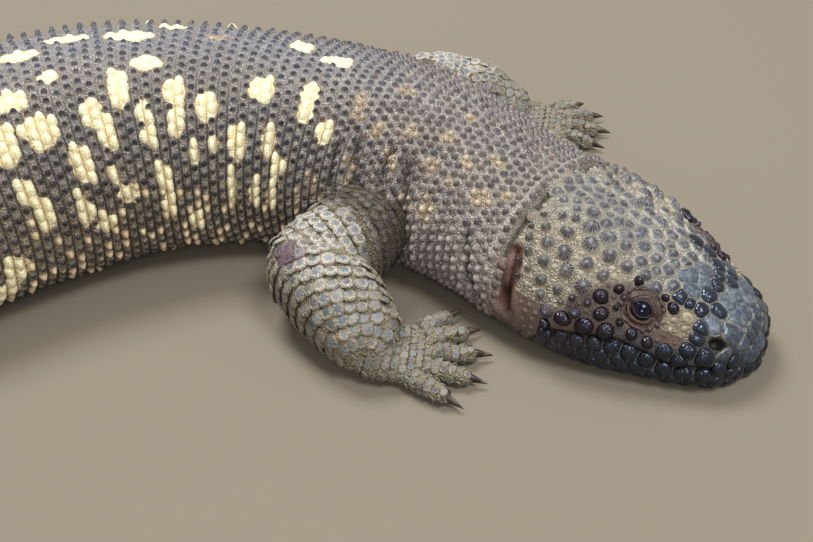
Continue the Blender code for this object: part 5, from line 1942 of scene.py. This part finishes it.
def horn_capped_beads():
    """Horn caps over bone beads: glossy and dark at the tip, powdered with dust at the rim, with painted
    shade at the foot.
    """
    finish = Finish("horn_capped_beads")
    add = finish.add
    place = add("place")
    reach, spokes, edge = stud_pattern(add, place, 7.0)
    patches = add("noise", place, BEAD_NOISES[0], 2.0)
    speckle = add("noise", place, BEAD_NOISES[1], 3.0, 0.6)
    tone = add("stored", "tone")
    ground = add("stored", "ground")
    noise = add("MULTIPLY", add("SUBTRACT", patches, 0.5), 0.7)
    noise = add("ADD", noise, add("MULTIPLY", spokes, 0.07))
    rim = add("ramp", add("ADD", reach, noise), 0.42, 0.92)
    powder = add("ramp", speckle, 0.5, 0.75, 0.0, 0.25)
    streak = add("MULTIPLY", add("ramp", spokes, 0.0, 0.9), add("ramp", reach, 0.2, 0.6, 0.0, 0.3))
    streak = add("MULTIPLY", streak, add("ramp", ground["Alpha"], 0.32, 0.38))
    colour = add("blend", add("MAXIMUM", powder, streak), tone["Color"], ground["Color"])
    colour = add("blend", rim, colour, ground["Color"])
    dull = add("MAXIMUM", rim, add("ramp", tone["Alpha"], 0.45, 0.2))
    dull = add("MULTIPLY", dull, add("ramp", tone["Alpha"], 0.25, 0.4, 0.4, 0.8))
    colour, grain = grained(add, place, colour, dull)
    # Painted shade: the bead's foot darkens as far as the rim colour's alpha allows.
    colour = add("blend", add("MULTIPLY", edge, ground["Alpha"]), colour, "#221b16")
    matt = add("MAXIMUM", rim, add("SUBTRACT", 1.0, tone["Alpha"]))
    matt = add("ramp", matt, 0.0, 1.0, 0.25, 0.8)
    ridges = add("MULTIPLY", spokes, add("ramp", reach, 0.1, 0.4))
    height = add("ADD", add("MULTIPLY", speckle, 0.12), add("MULTIPLY", ridges, 0.05))
    height = add("ADD", height, grain)
    return finish.shade(colour, matt, (1.0, 0.0004, height), {"Specular Tint": "#d2ddff"})


def polished_horn_plates():
    """Polished horn plates: smooth and wet-looking on snout and lips, furrowed on the domes."""
    finish = Finish("polished_horn_plates")
    add = finish.add
    place = add("place")
    reach, spokes, furrowed = stud_pattern(add, place, 13.0)
    patches = add("noise", place, PLATE_NOISES[0], 3.0)
    speckle = add("noise", place, PLATE_NOISES[1], 4.0, 0.6)
    tone = add("stored", "tone")
    ground = add("stored", "ground")
    dull = add("SUBTRACT", 1.0, tone["Alpha"])
    worn = add("MULTIPLY", dull, furrowed)
    noise = add("MULTIPLY", add("SUBTRACT", patches, 0.5), dull)
    dusted = add("ADD", reach, add("MULTIPLY", noise, 1.6))
    rim = add("ramp", dusted, ground["Alpha"], 1.02)
    furrow = add("MULTIPLY", add("ramp", spokes, 0.0, 0.9, 0.0, 0.9), add("ramp", reach, 0.12, 0.5))
    colour = add("blend", add("MULTIPLY", furrow, worn), tone["Color"], ground["Color"])
    powder = add("MULTIPLY", add("ramp", speckle, 0.46, 0.62), dull)
    colour = add("blend", add("MULTIPLY", powder, 0.75), colour, ground["Color"])
    crest = add("MULTIPLY", add("ramp", reach, 0.35, 0.0), worn)
    colour = add("blend", crest, colour, "#a9a69c")
    colour = add("blend", rim, colour, ground["Color"])
    matt = add("MAXIMUM", add("MULTIPLY", rim, 0.7), dull)
    matt = add("ramp", matt, 0.0, 0.8, 0.11, 0.8)
    ridges = add("MULTIPLY", add("MULTIPLY", spokes, furrowed), add("ramp", reach, 0.1, 0.5))
    rough = add("MULTIPLY", speckle, add("ADD", dull, 0.2))
    height = add("ADD", rough, add("MULTIPLY", ridges, 0.3))
    return finish.shade(colour, matt, (0.7, 0.0003, height), {"Specular Tint": "#d2ddff"})


def wet_eye():
    """A wet cornea over a brown-black iris, so it is near mirror smooth."""
    finish = Finish("wet_eye")
    add = finish.add
    parts = add("split", add("stored", "iris")["Vector"])
    reach = add("length", add("join", parts[0], parts[1]))
    colour = add("blend", add("ramp", reach, 0.22, 0.36), "#030305", "#17121c")
    colour = add("blend", add("ramp", reach, 0.46, 0.6), colour, "#0a0708")
    return finish.shade(colour, 0.05, (), {"IOR": 1.38, "Specular Tint": "#c3cdff"})


def bare_lid_skin():
    """Bare wrinkled skin round the eye: soft, slightly damp, maroon brown, with painted shade in its
    wrinkles.
    """
    finish = Finish("bare_lid_skin")
    add = finish.add
    place = add("place")
    patches = add("noise", place, LID_NOISES[0], 3.0)
    pores = add("noise", place, LID_NOISES[1], 3.0)
    facts = add("split", add("stored", "lid")["Vector"])
    lid = (*bpy.context.scene.lizard_colours.lid, 1.0)
    colour = add("blend", add("ramp", patches, 0.42, 0.62, 0.0, 0.8), lid, "#4b3833")
    colour = add("blend", add("ramp", facts[1], 0.3, 0.9, 0.0, 0.7), colour, "#5c3f34")
    # Painted shade in the wrinkles' troughs.
    colour = add("blend", add("ramp", facts[2], 0.55, 0.95, 0.0, 0.7), colour, "#1d1311")
    colour = add("blend", add("ramp", facts[0], 0.2, 0.12), colour, "#120b0a")
    colour = add("blend", add("ramp", facts[0], 0.78, 0.95, 0.0, 0.6), colour, "#352520")
    return finish.shade(colour, 0.48, (0.6, 0.00015, pores))


def claw_horn():
    """Dense claw horn: dark, worn dull with fine scratches."""
    finish = Finish("claw_horn")
    add = finish.add
    grain = add("noise", add("place"), CLAW_NOISE, 4.0)
    colour = add("blend", add("ramp", grain, 0.35, 0.7), "#2b2520", "#6f6353")
    return finish.shade(colour, 0.42, (0.3, 0.0001, grain))


def pale_floor():
    """Matt painted board, pale and even."""
    return Finish("pale_floor").shade("#746b5c", 0.9)


CAMERA_TARGET = (0.0, -38.0, 8.0)
CAMERA_BACK = 322.0
CAMERA_RISE = 38.0
LENS = 50
SENSOR = 36
FLOOR_SIZE = 4.0      # metres
# Lamps: place and width in metres, and power in watts.
LIGHTS = (
    ("key", (-0.4, 0.5, 1.2), 0.55, 19.0),
    ("sky", (0.45, -0.5, 1.3), 0.5, 14.0),
    ("low", (0.1, -1.1, 0.8), 0.35, 4.0),
)
SKY = (0.93, 0.96, 1.0, 1.0)
SKY_STRENGTH = 0.55


class Stage(bpy.types.Operator):
    """Sets up the floor, the light and the camera"""

    bl_idname = "lizard.stage"
    bl_label = "Stage"

    def execute(self, context):
        scene = context.scene
        bm = bmesh.new()
        bmesh.ops.create_grid(bm, x_segments=1, y_segments=1, size=FLOOR_SIZE / 2 / MM)
        floor = new_object("floor", bm)
        floor.data.materials.append(pale_floor())
        for name, place, size, power in LIGHTS:
            lamp = bpy.data.lights.new(name, "AREA")
            lamp.shape = "DISK"
            lamp.size = size
            lamp.energy = power
            holder = bpy.data.objects.new(name, lamp)
            holder.location = place
            holder.rotation_euler = Vector(place).to_track_quat("Z", "Y").to_euler()
            scene.collection.objects.link(holder)
        world = bpy.data.worlds.new("studio")
        world.use_nodes = True
        background = world.node_tree.nodes["Background"]
        background.inputs["Color"].default_value = SKY
        background.inputs["Strength"].default_value = SKY_STRENGTH
        scene.world = world
        scene.view_settings.view_transform = "Standard"
        camera = bpy.data.objects.new("camera", bpy.data.cameras.new("camera"))
        rise = math.radians(CAMERA_RISE)
        back = Vector((0, -math.cos(rise), math.sin(rise)))
        camera.location = (Vector(CAMERA_TARGET) + back * CAMERA_BACK) * MM
        camera.rotation_euler = back.to_track_quat("Z", "Y").to_euler()
        camera.data.lens = LENS
        camera.data.sensor_width = SENSOR
        camera.data.clip_start = 0.01
        scene.collection.objects.link(camera)
        scene.camera = camera
        return {"FINISHED"}


STEPS = (SkinPiece, TrunkBeads, LegBeads, HeadScales, Eyes, Claws, Stage)


class LizardPanel(bpy.types.Panel):
    """Lists the sizes, the colours and the steps that make the lizard"""

    bl_idname = "VIEW3D_PT_lizard"
    bl_label = "Beaded lizard"
    bl_space_type = "VIEW_3D"
    bl_region_type = "UI"
    bl_category = "Lizard"

    def draw(self, context):
        for group in (context.scene.lizard_sizes, context.scene.lizard_colours):
            for name in group.__annotations__:
                self.layout.prop(group, name)
        for step in STEPS:
            self.layout.operator(step.bl_idname)


CLASSES = (LizardSizes, LizardColours, *STEPS, LizardPanel)


def register():
    for kind in CLASSES:
        bpy.utils.register_class(kind)
    bpy.types.Scene.lizard_sizes = PointerProperty(type=LizardSizes)
    bpy.types.Scene.lizard_colours = PointerProperty(type=LizardColours)


def unregister():
    del bpy.types.Scene.lizard_sizes
    del bpy.types.Scene.lizard_colours
    for kind in reversed(CLASSES):
        bpy.utils.unregister_class(kind)


def main():
    """Makes every piece and the stage."""
    register()
    bpy.ops.lizard.skin()
    bpy.ops.lizard.trunk_beads()
    bpy.ops.lizard.leg_beads()
    bpy.ops.lizard.head_scales()
    bpy.ops.lizard.eyes()
    bpy.ops.lizard.claws()
    bpy.ops.lizard.stage()


if __name__ == "__main__":
    main()
